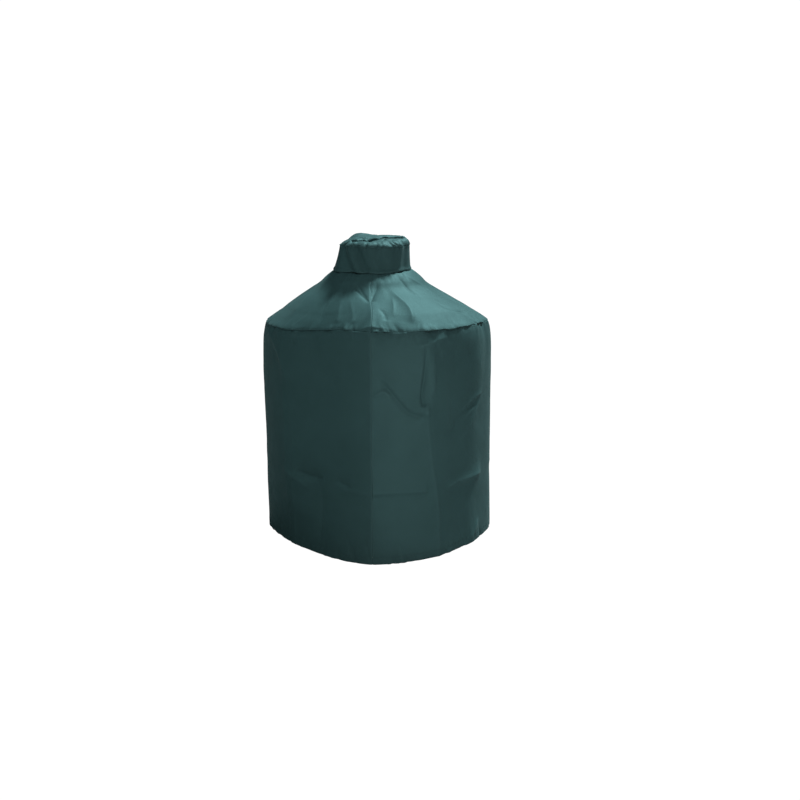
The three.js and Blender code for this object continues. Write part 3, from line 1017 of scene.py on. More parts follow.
@dataclass
class ClothGrid:
    """A grid of points on a sheet of cloth, with a flat pattern position for each."""

    name: str
    points: Array
    pattern: Array
    edge: GridEdge = GridEdge.OPEN

    def convexity(self) -> Array:
        """How strongly the cloth bulges outwards at each point, in 1/m."""
        points = self.points
        up = np.gradient(points, axis=0)
        across = np.gradient(points, axis=1)
        normal = unit_normals(across, up)
        bend = np.zeros(points.shape[:2])
        for axis, tangent in ((0, up), (1, across)):
            turning = np.gradient(normal, axis=axis)
            size = np.maximum((tangent**2).sum(-1), 1e-10)
            bend += (turning * tangent).sum(-1) / size
        return bend

    def wear(self) -> Array:
        """How worn each point is, from 0 to 1, most where the cloth bulges."""
        return np.clip(self.convexity() / 140.0, 0.0, 1.0).reshape(-1)

    def faces(self) -> Array:
        """The grid's four-sided faces, as point numbers."""
        rows, columns = self.points.shape[:2]
        index = np.arange(rows * columns).reshape(rows, columns)
        following = np.roll(index, -1, axis=1) if self.edge.closed else index[:, 1:]
        here = index if self.edge.closed else index[:, :-1]
        return np.stack([here[:-1], following[:-1], following[1:], here[1:]], axis=-1).reshape(-1, 4)

    def corner_pattern(self, faces: Array) -> Array:
        """The pattern position of each face's corners, carried on past the end of a ring."""
        flat = self.pattern.reshape(-1, 2)[faces.reshape(-1)].copy()
        if self.edge is GridEdge.RING:
            columns = self.points.shape[1]
            width = float(self.pattern[..., 0].max() - self.pattern[..., 0].min())
            width *= columns / (columns - 1)
            corner_u = flat[:, 0].reshape(-1, 4)
            wrapped = corner_u.max(axis=1) - corner_u.min(axis=1) > 0.5 * width
            before = wrapped[:, None] & (corner_u < 0.5 * width)
            flat[:, 0] = np.where(before, corner_u + width, corner_u).reshape(-1)
        return flat

    def mesh_object(self) -> bpy.types.Object:
        """Builds the mesh, with its pattern as a UV map in metres and its wear as an attribute."""
        faces = self.faces()
        points = self.points.reshape(-1, 3).tolist()
        polygons = faces.tolist()
        pattern = self.corner_pattern(faces)
        wear = self.wear()
        if self.edge is GridEdge.DISC:
            middle = len(points)
            last = np.arange(middle - self.points.shape[1], middle)
            fan = [(int(a), int(b), middle) for a, b in zip(last, np.roll(last, -1))]
            points.append(self.points[-1].mean(axis=0).tolist())
            polygons += fan
            flat = np.vstack([self.pattern.reshape(-1, 2), [[0.0, 0.0]]])
            pattern = np.vstack([pattern, flat[np.array(fan).reshape(-1)]])
            wear = np.append(wear, 0.0)
        mesh = bpy.data.meshes.new(self.name)
        mesh.from_pydata(points, [], polygons)
        uv_map = mesh.uv_layers.new(name="pattern")
        uv_map.data.foreach_set("uv", pattern.astype(np.float32).reshape(-1))
        attribute = mesh.attributes.new("wear", "FLOAT", "POINT")
        attribute.data.foreach_set("value", wear.astype(np.float32))
        mesh.polygons.foreach_set("use_smooth", np.ones(len(mesh.polygons), bool))
        mesh.update()
        return scene_object(self.name, mesh)


def thicken(piece: bpy.types.Object, thickness: float, inside: bpy.types.Material | None) -> None:
    """Gives a sheet its thickness, inwards from its outer face.

    Args:
        piece: The sheet.
        thickness: The cloth's thickness, in metres.
        inside: The finish of the inner face, or None for the same as outside.
    """
    solidify = piece.modifiers.new("thickness", "SOLIDIFY")
    solidify.thickness = thickness
    solidify.offset = -1.0
    if inside is not None:
        piece.data.materials.append(inside)
        solidify.material_offset = 1
        solidify.material_offset_rim = 0


class NodeSheet:
    """A small helper that lays out a material's nodes."""

    def __init__(self, name: str) -> None:
        """Makes an empty material of that name."""
        self.material = bpy.data.materials.new(name)
        self.material.use_nodes = True
        self.tree = self.material.node_tree
        self.tree.nodes.clear()

    def node(self, kind: str, **settings: object) -> bpy.types.Node:
        """Adds a node and sets its properties."""
        made = self.tree.nodes.new(kind)
        for key, value in settings.items():
            setattr(made, key, value)
        return made

    def link(self, output: bpy.types.NodeSocket, target: bpy.types.NodeSocket) -> None:
        """Joins two sockets."""
        self.tree.links.new(output, target)

    def maths(self, operation: str, first: object, second: object = None) -> bpy.types.NodeSocket:
        """Adds a Math node.

        Args:
            operation: The node's operation.
            first: A socket or number for its first input.
            second: A socket or number for its second input, or None.

        Returns:
            The node's output.
        """
        made = self.node("ShaderNodeMath", operation=operation)
        for socket, value in zip(made.inputs, (first, second)):
            if isinstance(value, bpy.types.NodeSocket):
                self.link(value, socket)
            elif value is not None:
                socket.default_value = value
        return made.outputs[0]

    def scaled(self, value: bpy.types.NodeSocket, factor: float, start: float) -> bpy.types.NodeSocket:
        """A value times a factor, plus a start."""
        made = self.maths("MULTIPLY_ADD", value, factor)
        made.node.inputs[2].default_value = start
        return made

    def noise(self, vector: bpy.types.NodeSocket, scale: float, detail: float) -> bpy.types.NodeSocket:
        """Adds a Noise Texture and returns its value."""
        made = self.node("ShaderNodeTexNoise")
        made.inputs["Scale"].default_value = scale
        made.inputs["Detail"].default_value = detail
        self.link(vector, made.inputs["Vector"])
        return made.outputs["Fac"]

    def mix(
        self,
        share: bpy.types.NodeSocket,
        first: bpy.types.NodeSocket | Colour,
        second: bpy.types.NodeSocket | Colour,
    ) -> bpy.types.NodeSocket:
        """Mixes two colours by a share and returns the result."""
        made = self.node("ShaderNodeMix", data_type="RGBA")
        self.link(share, made.inputs["Factor"])
        for socket, value in zip((made.inputs[6], made.inputs[7]), (first, second)):
            if isinstance(value, bpy.types.NodeSocket):
                self.link(value, socket)
            else:
                socket.default_value = (*value, 1.0)
        return made.outputs[2]

    def bump(
        self,
        height: bpy.types.NodeSocket,
        strength: float,
        distance: float,
        under: bpy.types.NodeSocket | None = None,
    ) -> bpy.types.NodeSocket:
        """Adds a Bump node.

        Args:
            height: The height that it reads.
            strength: Its strength.
            distance: Its distance, in metres.
            under: The normal of a coarser bump that it sits on, or None.

        Returns:
            The bumped normal.
        """
        made = self.node("ShaderNodeBump")
        made.inputs["Strength"].default_value = strength
        made.inputs["Distance"].default_value = distance
        self.link(height, made.inputs["Height"])
        if under is not None:
            self.link(under, made.inputs["Normal"])
        return made.outputs[0]

    def principled(
        self, links: dict[str, bpy.types.NodeSocket], constants: dict[str, object]
    ) -> bpy.types.Material:
        """Ends the material in a Principled shader.

        Args:
            links: The sockets that feed its inputs.
            constants: Its inputs that are the same all over.

        Returns:
            The finished material.
        """
        shader = self.node("ShaderNodeBsdfPrincipled")
        for name, output in links.items():
            self.link(output, shader.inputs[name])
        for name, value in constants.items():
            shader.inputs[name].default_value = value
        return self.end(shader.outputs[0])

    def end(self, surface: bpy.types.NodeSocket) -> bpy.types.Material:
        """Joins a surface to the material's output and returns the material."""
        self.link(surface, self.node("ShaderNodeOutputMaterial").inputs[0])
        return self.material


def shade(colour: Colour, factor: float) -> Colour:
    """A colour made darker or lighter by a factor."""
    red, green, blue = colour
    return (red * factor, green * factor, blue * factor)


@dataclass(frozen=True)
class WovenFinish:
    """Woven polyester cloth with a satin face."""

    name: str
    colour: Colour
    faded: Colour
    thread_pitch: float
    weave_depth: float
    roughness: float
    satin: float
    sheen: float

    def material(self) -> bpy.types.Material:
        """Builds the finish's material."""
        sheet = NodeSheet(self.name)
        pattern = sheet.node("ShaderNodeUVMap", uv_map="pattern").outputs[0]
        place = sheet.node("ShaderNodeTexCoord").outputs["Object"]
        split = sheet.node("ShaderNodeSeparateXYZ")
        sheet.link(pattern, split.inputs[0])
        turns = math.pi / self.thread_pitch
        warp = sheet.maths("SINE", sheet.maths("MULTIPLY", split.outputs[0], turns))
        weft = sheet.maths("SINE", sheet.maths("MULTIPLY", split.outputs[1], turns))
        over = sheet.maths("MULTIPLY", warp, weft)
        weave = sheet.scaled(over, 0.5, 0.5)

        blotch = sheet.noise(place, 9.0, 3.0)
        slub = sheet.noise(place, 140.0, 2.0)
        crumple = sheet.noise(place, 34.0, 4.0)
        wear = sheet.node("ShaderNodeAttribute", attribute_name="wear").outputs["Fac"]
        ground = sheet.mix(blotch, shade(self.colour, 0.86), shade(self.colour, 1.12))
        threaded = sheet.mix(sheet.maths("MULTIPLY", weave, 0.35), ground, shade(self.colour, 0.7))
        soft = sheet.bump(crumple, 0.35, 1.2 * MM)
        return sheet.principled(
            {
                "Base Color": sheet.mix(sheet.maths("MULTIPLY", wear, 0.4), threaded, self.faded),
                "Roughness": sheet.scaled(slub, 0.12, self.roughness - 0.06),
                "Normal": sheet.bump(weave, 0.5, self.weave_depth, soft),
            },
            {
                "Specular IOR Level": 0.0,
                "Metallic": self.satin,
                "Sheen Weight": self.sheen,
                "Sheen Roughness": 0.35,
                "Sheen Tint": (0.62, 0.86, 0.84, 1.0),
            },
        )


@dataclass(frozen=True)
class CoatedFinish:
    """A smooth waterproof coating or tape."""

    name: str
    colour: Colour
    roughness: float
    grain: float

    def material(self) -> bpy.types.Material:
        """Builds the finish's material."""
        sheet = NodeSheet(self.name)
        place = sheet.node("ShaderNodeTexCoord").outputs["Object"]
        mottle = sheet.noise(place, 26.0, 3.0)
        grain = sheet.noise(place, 900.0, 2.0)
        return sheet.principled(
            {
                "Base Color": sheet.mix(mottle, shade(self.colour, 0.8), shade(self.colour, 1.2)),
                "Roughness": sheet.scaled(mottle, 0.16, self.roughness - 0.08),
                "Normal": sheet.bump(grain, 0.4, self.grain),
            },
            {"Coat Weight": 0.15, "Coat Roughness": 0.3},
        )


@dataclass(frozen=True)
class ThreadFinish:
    """Twisted polyester sewing thread."""

    name: str
    colour: Colour

    def material(self) -> bpy.types.Material:
        """Builds the finish's material."""
        sheet = NodeSheet(self.name)
        place = sheet.node("ShaderNodeTexCoord").outputs["Object"]
        twist = sheet.noise(place, 2600.0, 1.0)
        twisted = sheet.mix(twist, shade(self.colour, 0.7), self.colour)
        return sheet.principled({"Base Color": twisted}, {"Roughness": 0.6, "Specular IOR Level": 0.1})


@dataclass(frozen=True)
class Finishes:
    """The materials that the cover uses."""

    cloth: bpy.types.Material
    coating: bpy.types.Material
    tape: bpy.types.Material
    thread: bpy.types.Material

    @classmethod
    def make(cls) -> Finishes:
        """Builds every finish once."""
        green = (0.036, 0.088, 0.091)
        cloth = WovenFinish(
            name="woven_polyester",
            colour=green,
            faded=(0.052, 0.120, 0.124),
            thread_pitch=0.55 * MM,
            weave_depth=0.12 * MM,
            roughness=0.58,
            satin=0.25,
            sheen=0.03,
        )
        coating = CoatedFinish("inner_coating", (0.028, 0.040, 0.040), 0.42, 0.05 * MM)
        tape = CoatedFinish("seam_tape", (0.018, 0.024, 0.024), 0.34, 0.03 * MM)
        thread = ThreadFinish("sewing_thread", (0.036, 0.092, 0.094))
        return cls(cloth.material(), coating.material(), tape.material(), thread.material())


def settle(piece: bpy.types.Object, slot: str, *nodes: str) -> bpy.types.Object:
    """Rides a piece on the cover's body and hides the nodes that it replaces.

    Args:
        piece: The finished piece.
        slot: Not used.
        nodes: The nodes that it replaces.

    Returns:
        The same piece.
    """
    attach(piece, BODY)
    if nodes:
        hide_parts(*nodes)
    log.info("made %s", piece.name)
    return piece


@dataclass(frozen=True)
class SeamDip:
    """The narrow dip where the cloth runs into a seam."""

    depth: float = 1.1 * MM
    reach: float = 1.8 * MM

    def beside_uprights(self, turn: Array, radius: Array) -> Array:
        """How far the cloth dips beside the four upright seams, in metres."""
        from_seam = np.abs(turn_apart(turn * 4.0, SEAM_TURN * 4.0)) / 4.0
        return self.depth * fading(np.radians(from_seam) * radius, self.reach)

    def beside_edge(self, distance: Array, strength: float, width: float = 1.0) -> Array:
        """How far it dips at a distance from a level seam, in metres."""
        return strength * self.depth * fading(distance, width * self.reach)


@dataclass
class ClothWork:
    """What each part of the cover made of cloth sheets has."""

    form: CoverForm
    finishes: Finishes
    dip: SeamDip = SeamDip()
    pieces: dict[str, bpy.types.Object] = field(default_factory=dict)

    def add(self, key: str, grid: ClothGrid, node: str) -> None:
        """Makes a grid into a finished sheet of cloth, coated on its inside.

        Args:
            key: What the sheet is called among the pieces.
            grid: Its shape.
            node: The node that it replaces.
        """
        piece = grid.mesh_object()
        piece.data.materials.append(self.finishes.cloth)
        thicken(piece, CLOTH_THICKNESS, self.finishes.coating)
        settle(piece, "cover_cloth", node)
        self.pieces[key] = piece

    def quarter_turns(self, quarter: Quarter, columns: Array, radius: float) -> Array:
        """The turns of a panel's columns, kept a little away from the seams at its sides."""
        around = math.radians(90.0) * radius
        edge = math.degrees(SEAM_GAP / radius)
        return quarter.start + edge + (90.0 - 2 * edge) * columns / around


@dataclass
class Skirt(ClothWork):
    """The four tall panels that hang from the shoulder seam to the ground."""

    hem_lift: float = 0.8 * MM
    hem_fade: float = 0.05
    hem_clear: float = 1.0 * MM
    facing_clear: float = 1.5 * MM

    def surface(self, turn: Array, height: Array, with_seams: bool = True) -> Array:
        """The skirt's outer face at each turn and height.

        Args:
            turn: Angles from the front, in degrees.
            height: Heights on the round pattern, in metres.
            with_seams: Whether the cloth dips into its seams.

        Returns:
            Points, with x, y and z along the last axis.
        """
        form = self.form
        points = form.base(turn, height)
        offset = form.skirt_offset(turn, height, points)
        if with_seams:
            offset -= self.dip.beside_uprights(turn, form.radius(height))
            offset -= self.dip.beside_edge(form.sizes.shoulder_height - height, 1.3)
            offset -= 0.5 * MM * bell(height - HEM_STITCH_HEIGHT, 1.6 * MM)
        return points + form.normal(turn, height) * offset[..., None]

    def plain_surface(self, turn: Array, height: Array) -> Array:
        """The outer face without the dips of its seams, kept clear of the ground."""
        points = self.surface(turn, height, with_seams=False)
        points[..., 2] = np.maximum(points[..., 2], self.facing_clear)
        return points

    def build(self) -> None:
        """Makes the four panels."""
        radius = self.form.sizes.hem_half_width
        tall = self.form.sizes.shoulder_height
        columns = seam_steps(math.radians(90.0) * radius, COLUMN_STEP)
        rows = seam_steps(tall, ROW_STEP)
        for quarter in Quarter:
            turn, height = np.meshgrid(self.quarter_turns(quarter, columns, radius), rows)
            points = self.surface(turn, height)
            lifted = self.hem_lift * (1.0 + ripple(turn, 71, 4, 11)) * fading(height, self.hem_fade)
            points[..., 2] = np.maximum(points[..., 2] + lifted, self.hem_clear)
            pattern = np.stack(np.meshgrid(columns, rows), axis=-1)
            label = quarter.label
            self.add(label, ClothGrid(f"skirt_{label}", points, pattern), f"skirt_panel_{label}")


@dataclass
class Cone(ClothWork):
    """The four sloping panels between the shoulder seam and the neck."""

    bulge_at: float = 6.5 * MM
    hang_out: float = 0.75
    hang_down: float = 0.85
    row_step: float = 3.2 * MM

    def surface(self, turn: Array, height: Array, with_seams: bool = True) -> Array:
        """The cone's outer face at each turn and height, as for the skirt."""
        form = self.form
        sizes = form.sizes
        points = form.base(turn, height)
        offset = form.cone_offset(turn, height, points)
        above = (height - sizes.shoulder_height) * SLANT_ABOVE_SHOULDER
        if with_seams:
            below_neck = (sizes.neck_height - height) * 1.4
            offset -= self.dip.beside_uprights(turn, form.radius(height))
            offset -= self.dip.beside_edge(above, 1.3)
            offset -= self.dip.beside_edge(below_neck, 1.2, 2.0)
        bulge = np.clip(above / self.bulge_at, 0.0, None)
        hang = form.overhang(turn) * bulge * np.exp(1.0 - bulge)
        moved = points + form.normal(turn, height) * (offset + self.hang_out * hang)[..., None]
        moved[..., 2] -= self.hang_down * hang
        return moved

    def plain_surface(self, turn: Array, height: Array) -> Array:
        """The outer face without the dips of its seams."""
        return self.surface(turn, height, with_seams=False)

    def build(self) -> None:
        """Makes the four panels."""
        sizes = self.form.sizes
        radius = sizes.shoulder_half_width
        slant = math.hypot(sizes.neck_height - sizes.shoulder_height, radius - sizes.neck_radius)
        around = math.radians(90.0) * radius
        columns = seam_steps(around, COLUMN_STEP)
        steps = seam_steps(slant, self.row_step)
        outline = self.form.cone_outline
        travel = np.concatenate([[0.0], np.cumsum(np.hypot(*np.diff(outline, axis=0).T))])
        rows = np.interp(steps / slant * travel[-1], travel, outline[:, 0])
        rows = np.clip(rows, sizes.shoulder_height, sizes.neck_height + 3 * MM)
        for quarter in Quarter:
            turn, height = np.meshgrid(self.quarter_turns(quarter, columns, radius), rows)
            points = self.surface(turn, height)
            flat = np.stack(np.meshgrid(columns - 0.5 * around, steps), axis=-1)
            flat[..., 0] *= self.form.radius(height) / radius
            label = quarter.label
            self.add(label, ClothGrid(f"cone_{label}", points, flat), f"cone_panel_{label}")


@dataclass(frozen=True)
class Drape:
    """A fold of the cap's band from its top to its foot: turns and reach in degrees, in millimetres."""

    top_turn: float
    foot_turn: float
    reach: float
    amount: float

    def at(self, turn: Array, share: Array) -> Array:
        """How far it moves the cloth outwards at a share of the band's height, in metres."""
        middle = self.foot_turn + (self.top_turn - self.foot_turn) * share
        return self.amount * MM * bell(turn_apart(turn, 0.0) - turn_apart(middle, 0.0), self.reach)


BAND_DRAPES = (
    Drape(-78.0, -58.0, 11.0, 3.6),
    Drape(-62.0, -36.0, 8.0, -6.0),
    Drape(-45.0, -21.0, 7.5, 6.0),
    Drape(-31.0, -9.0, 7.0, -6.4),
    Drape(-14.0, 8.0, 10.0, 3.4),
    Drape(8.0, 22.0, 9.0, -1.6),
    Drape(46.0, 42.0, 5.5, 4.4),
    Drape(61.0, 57.0, 8.0, -3.0),
    Drape(98.0, 112.0, 12.0, -3.6),
    Drape(138.0, 126.0, 11.0, 3.4),
    Drape(176.0, 190.0, 11.0, -3.6),
    Drape(214.0, 200.0, 12.0, 3.2),
    Drape(246.0, 264.0, 10.0, -3.6),
)


@dataclass
class Cap(ClothWork):
    """The band and crown over the chimney."""

    seam_height: float = 0.0
    seam_below_rim: float = 7 * MM
    foot_lean: float = 11.0
    lean_lost: float = 5.0
    under_cone: float = 2.5 * MM
    band_step: float = 2.6 * MM
    crown_slack: float = 1.15
    plateau_drop: float = 8.5 * MM
    left_drop: float = 11.0 * MM
    back_slope: float = 0.03
    gathers: int = 25
    gather_depth: float = 4.0 * MM
    gather_reach: float = 9.0 * MM
    roll_angle: float = 98.0
    columns: int = 320
    rings: int = 100

    def __post_init__(self) -> None:
        """Places the seam between band and crown just under the frame's rim."""
        self.seam_height = self.form.sizes.rim_height - self.seam_below_rim

    def centre(self, height: Array) -> Array:
        """How far the cap leans towards -X at a height."""
        sizes = self.form.sizes
        share = np.clip((height - sizes.neck_height) / (sizes.rim_height - sizes.neck_height), 0.0, 1.0)
        return -(self.foot_lean - self.lean_lost * share) * MM

    def band_radius(self, turn: Array, height: Array) -> Array:
        """The band's radius about its leaning centre."""
        sizes = self.form.sizes
        share = np.clip((height - sizes.neck_height) / (self.seam_height - sizes.neck_height), 0.0, 1.0)
        foot = sizes.neck_radius - 5.5 * MM
        top = sizes.rim_radius - 2.0 * MM
        radius = foot + (top - foot) * np.sqrt(share)
        flare = near_turn(turn, -95.0, 50.0) * (1.0 - share) ** 1.5
        tuck = near_turn(turn, -92.0, 38.0) * share**2
        return radius + 9.0 * MM * flare - 7.0 * MM * tuck

    def band_offset(self, turn: Array, height: Array) -> Array:
        """Folds and drapes of the band, in metres."""
        sizes = self.form.sizes
        share = (height - sizes.neck_height) / (self.seam_height - sizes.neck_height)
        offset = np.zeros(turn.shape)
        for drape in BAND_DRAPES:
            offset += drape.at(turn, share)
        below = np.maximum(self.seam_height - height, 0.0)
        offset += self.gather_depth * self.gathered(turn) * fading(below, self.gather_reach)
        offset += MM * 0.6 * ripple(turn + 22.0 * share, 82, 4, 13)
        return offset

    def band_surface(self, turn: Array, height: Array) -> Array:
        """The band's outer face at each turn and height."""
        from_top = self.seam_height - height
        from_foot = height - self.form.sizes.neck_height
        radius = self.band_radius(turn, height) + self.band_offset(turn, height)
        radius = radius - 1.2 * MM * fading(from_top, 1.6 * MM)
        radius = radius + 2.2 * MM * bell(from_foot - 3 * MM, 5 * MM)
        radius = radius - 3.0 * MM * fading(from_foot, 1.6 * MM)
        angle = np.radians(turn)
        raised = 2.4 * near_turn(turn, 46.0, 18.0)
        tilt = MM * (raised + 1.2 * ripple(turn, 83, 2, 5)) * np.clip(1.0 - from_foot / 0.06, 0.0, 1.0)
        wave = 1.6 * MM * ripple(turn, 84, 6, 18) * np.clip(1.0 - from_top / 0.02, 0.0, 1.0)
        x = radius * np.sin(angle) + self.centre(height)
        y = -radius * np.cos(angle)
        return np.stack([x, y, height + tilt + wave], axis=-1)

    def gathered(self, turn: Array) -> Array:
        """The gathers round the rim, from about -0.6 in a sharp valley to 0.6 on a round ridge."""
        bent = turn + 4.2 * ripple(turn, 85, 6, 17)
        wave = np.abs(np.sin(np.radians(bent) * self.gathers / 2.0)) ** 0.8
        return (wave - 0.55) * np.clip(0.8 + 0.5 * ripple(turn, 86, 5, 15), 0.1, 1.6)

    def build_band(self) -> None:
        """Makes the band, joined at the back."""
        sizes = self.form.sizes
        tall = self.seam_height - sizes.neck_height
        around = math.tau * sizes.rim_radius
        columns = seam_steps(around, self.band_step)
        rows = seam_steps(tall, self.band_step)
        gap = math.degrees(SEAM_GAP / sizes.rim_radius)
        turns = 180.0 + SEAM_TURN + gap + (360.0 - 2 * gap) * columns / around
        heights = sizes.neck_height - self.under_cone + rows * (tall + self.under_cone) / tall
        turn, height = np.meshgrid(turns, heights)
        points = self.band_surface(turn, height)
        join = np.minimum(columns, around - columns)
        inward = 1.6 * MM * fading(join, 2.0 * MM)
        outward = points[..., :2] / np.linalg.norm(points[..., :2], axis=-1, keepdims=True)
        points[..., :2] -= outward * inward[None, :, None]
        pattern = np.stack(np.meshgrid(columns, rows), axis=-1)
        self.add("band", ClothGrid("cap_band_cloth", points, pattern), "cap_band")

    def plateau(self, x: Array, y: Array) -> Array:
        """The height of the crown's slack top at a place measured from the cap's middle."""
        height = self.form.sizes.crown_height - self.plateau_drop + self.back_slope * y
        left = np.clip((-x - 44 * MM) / (62 * MM), 0.0, 1.2)
        height = height - self.left_drop * left * left
        for feature in (*CROWN_LUMPS, *CROWN_CREASES, *CROWN_CRINKLES):
            height = height + feature.at(x, y)
        return height

    def crown_surface(self, turn: Array, share: Array) -> Array:
        """The crown's outer face, from its middle at share 0 to its seam at share 1."""
        edge = self.band_surface(turn, np.full(turn.shape, self.seam_height))
        middle = self.centre(np.array(self.seam_height))
        angle = np.radians(turn)
        rim = np.hypot(edge[..., 0] - middle, edge[..., 1]) + 1.0 * MM
        facing_left = near_turn(turn, -85.0, 42.0)
        facing_back = near_turn(turn, 180.0, 60.0)
        facing_front = near_turn(turn, 0.0, 50.0)
        roll = 0.13 + 0.18 * facing_left + 0.10 * facing_back + 0.15 * facing_front
        last = math.radians(self.roll_angle)
        over = np.clip((share - 1.0 + roll) / roll, 0.0, 1.0) * last
        inner = np.minimum(share / (1.0 - roll), 1.0) * (1.0 - roll)
        plan = inner + roll * np.sin(over)
        kept = (np.cos(over) - math.cos(last)) / (1.0 - math.cos(last))
        near = bell(1.0 - share, 0.22) * np.clip((1.0 - share) / 0.03, 0.0, 1.0)
        slanted = turn + 50.0 * (1.0 - share) * ripple(turn, 87, 3, 9)
        gathered = self.gather_depth * self.gathered(slanted)
        reach = plan * rim + near * gathered * np.sin(over)
        x = reach * np.sin(angle)
        y = -reach * np.cos(angle)
        top = self.plateau(x, y) + 0.5 * gathered * near * np.cos(over)
        z = edge[..., 2] + (top - edge[..., 2]) * kept
        return np.stack([x + middle, y, z], axis=-1)

    def build_crown(self) -> None:
        """Makes the crown as one gathered round of cloth."""
        turns = SEAM_TURN + 360.0 * np.arange(self.columns) / self.columns
        shares = np.linspace(1.0, 0.012, self.rings) ** 0.75
        turn, share = np.meshgrid(turns, shares)
        points = self.crown_surface(turn, share)
        reach = share * self.form.sizes.rim_radius * self.crown_slack
        angle = np.radians(turn)
        pattern = np.stack([reach * np.sin(angle), -reach * np.cos(angle)], axis=-1)
        self.add("crown", ClothGrid("cap_crown_cloth", points, pattern, GridEdge.DISC), "cap_crown")

    def build(self) -> None:
        """Makes the band and the crown."""
        self.build_band()
        self.build_crown()


@dataclass
class InsideWork:
    """The hem facing and the tapes that seal the seams from the inside."""

    skirt: Skirt
    cone: Cone
    cap: Cap
    finishes: Finishes
    tape_width: float = 22 * MM
    facing_width: float = 24 * MM
    facing_behind: float = 3.4 * MM
    upright_behind: float = 3.6 * MM
    shoulder_behind: float = 4.6 * MM
    cap_behind: float = 3.0 * MM
    join_behind: float = 3.4 * MM
    pattern_radius: float = 0.37
    ring_columns: int = 480
    pieces: dict[str, bpy.types.Object] = field(default_factory=dict)

    def strip(
        self,
        name: str,
        surface: Surface,
        turn: Array,
        height: Array,
        behind: float,
        edge: GridEdge,
    ) -> bpy.types.Object:
        """Makes a strip that lies a little behind a surface.

        Args:
            name: The piece's name.
            surface: The face that the strip lies behind.
            turn: Its points' turns, as a grid.
            height: Its points' heights, as a grid.
            behind: How far behind the face it lies, in metres.
            edge: Whether it runs all the way round.

        Returns:
            The strip.
        """
        points = surface(turn, height)
        if edge.closed:
            wide = np.concatenate([points[:, -1:], points, points[:, :1]], axis=1)
            across = np.gradient(wide, axis=1)[:, 1:-1]
        else:
            across = np.gradient(points, axis=1)
        normal = unit_normals(across, np.gradient(points, axis=0))
        pattern = np.stack([np.radians(turn) * self.pattern_radius, height], axis=-1)
        return ClothGrid(name, points - normal * behind, pattern, edge).mesh_object()

    def finish(self, piece: bpy.types.Object, node: str) -> None:
        """Gives a tape its finish and settles it."""
        piece.data.materials.append(self.finishes.tape)
        thicken(piece, TAPE_THICKNESS, None)
        settle(piece, "seam_tape", node)
        self.pieces[node] = piece

    def build_facing(self) -> None:
        """Makes the hem facing."""
        turns = np.linspace(0.0, 360.0, self.ring_columns, endpoint=False)
        heights = np.linspace(1.2 * MM, self.facing_width, 9)
        turn, height = np.meshgrid(turns, heights)
        face = self.skirt.plain_surface
        piece = self.strip("hem_facing_strip", face, turn, height, self.facing_behind, GridEdge.RING)
        piece.data.materials.append(self.finishes.cloth)
        thicken(piece, CLOTH_THICKNESS, None)
        settle(piece, "cover_cloth", "hem_facing")
        self.pieces["hem_facing"] = piece

    def build_upright(self, side: str, turn_at: float) -> None:
        """Makes the tapes up one seam of the skirt and cone."""
        sizes = self.skirt.form.sizes
        half = self.tape_width / 2
        across = np.linspace(-half, half, 7)
        skirt_heights = np.linspace(self.facing_width + 2 * MM, sizes.shoulder_height - 15 * MM, 150)
        cone_heights = np.linspace(sizes.shoulder_height + 9 * MM, sizes.neck_height - 12 * MM, 60)
        jobs = (
            ("skirt", skirt_heights, self.skirt.plain_surface),
            ("cone", cone_heights, self.cone.plain_surface),
        )
        for part, heights, surface in jobs:
            apart, height = np.meshgrid(across, heights)
            turn = turn_at + np.degrees(apart / self.skirt.form.radius(height))
            name = f"{part}_tape_{side}"
            piece = self.strip(name, surface, turn, height, self.upright_behind, GridEdge.OPEN)
            self.finish(piece, f"{part}_seam_tape_{side}")

    def build_rings(self) -> None:
        """Makes the ring tapes behind the shoulder, neck and rim seams."""
        sizes = self.skirt.form.sizes
        turns = np.linspace(0.0, 360.0, self.ring_columns, endpoint=False)
        shoulder = sizes.shoulder_height
        below = np.linspace(shoulder - 13 * MM, shoulder - 5 * MM, 4)
        above = np.linspace(shoulder + 3 * MM, shoulder + 8 * MM, 4)

        def corner(turn: Array, height: Array) -> Array:
            """The face on both sides of the shoulder seam."""
            skirt = self.skirt.plain_surface(turn, np.minimum(height, shoulder - 1e-6))
            cone = self.cone.plain_surface(turn, np.maximum(height, shoulder))
            return np.where((height < shoulder)[..., None], skirt, cone)

        neck, rim = sizes.neck_height, self.cap.seam_height
        rings = (
            ("shoulder", corner, np.concatenate([below, above]), self.shoulder_behind),
            ("neck", self.cap.band_surface, np.linspace(neck + 4 * MM, neck + 16 * MM, 6), self.cap_behind),
            ("rim", self.cap.band_surface, np.linspace(rim - 14 * MM, rim - 3 * MM, 6), self.cap_behind),
        )
        for seam, surface, heights, behind in rings:
            turn, height = np.meshgrid(turns, heights)
            piece = self.strip(f"{seam}_tape", surface, turn, height, behind, GridEdge.RING)
            self.finish(piece, f"{seam}_seam_tape")

    def build_join(self) -> None:
        """Makes the tape behind the join in the cap's band."""
        sizes = self.skirt.form.sizes
        across = np.linspace(-9 * MM, 9 * MM, 7)
        heights = np.linspace(sizes.neck_height + 18 * MM, self.cap.seam_height - 16 * MM, 18)
        apart, height = np.meshgrid(across, heights)
        turn = 180.0 + SEAM_TURN + np.degrees(apart / sizes.rim_radius)
        face = self.cap.band_surface
        piece = self.strip("band_tape", face, turn, height, self.join_behind, GridEdge.OPEN)
        self.finish(piece, "band_seam_tape")

    def build(self) -> None:
        """Makes the facing and every tape."""
        self.build_facing()
        for side, quarter in zip(("front", "right", "back", "left"), Quarter):
            self.build_upright(side, quarter.start)
        self.build_rings()
        self.build_join()


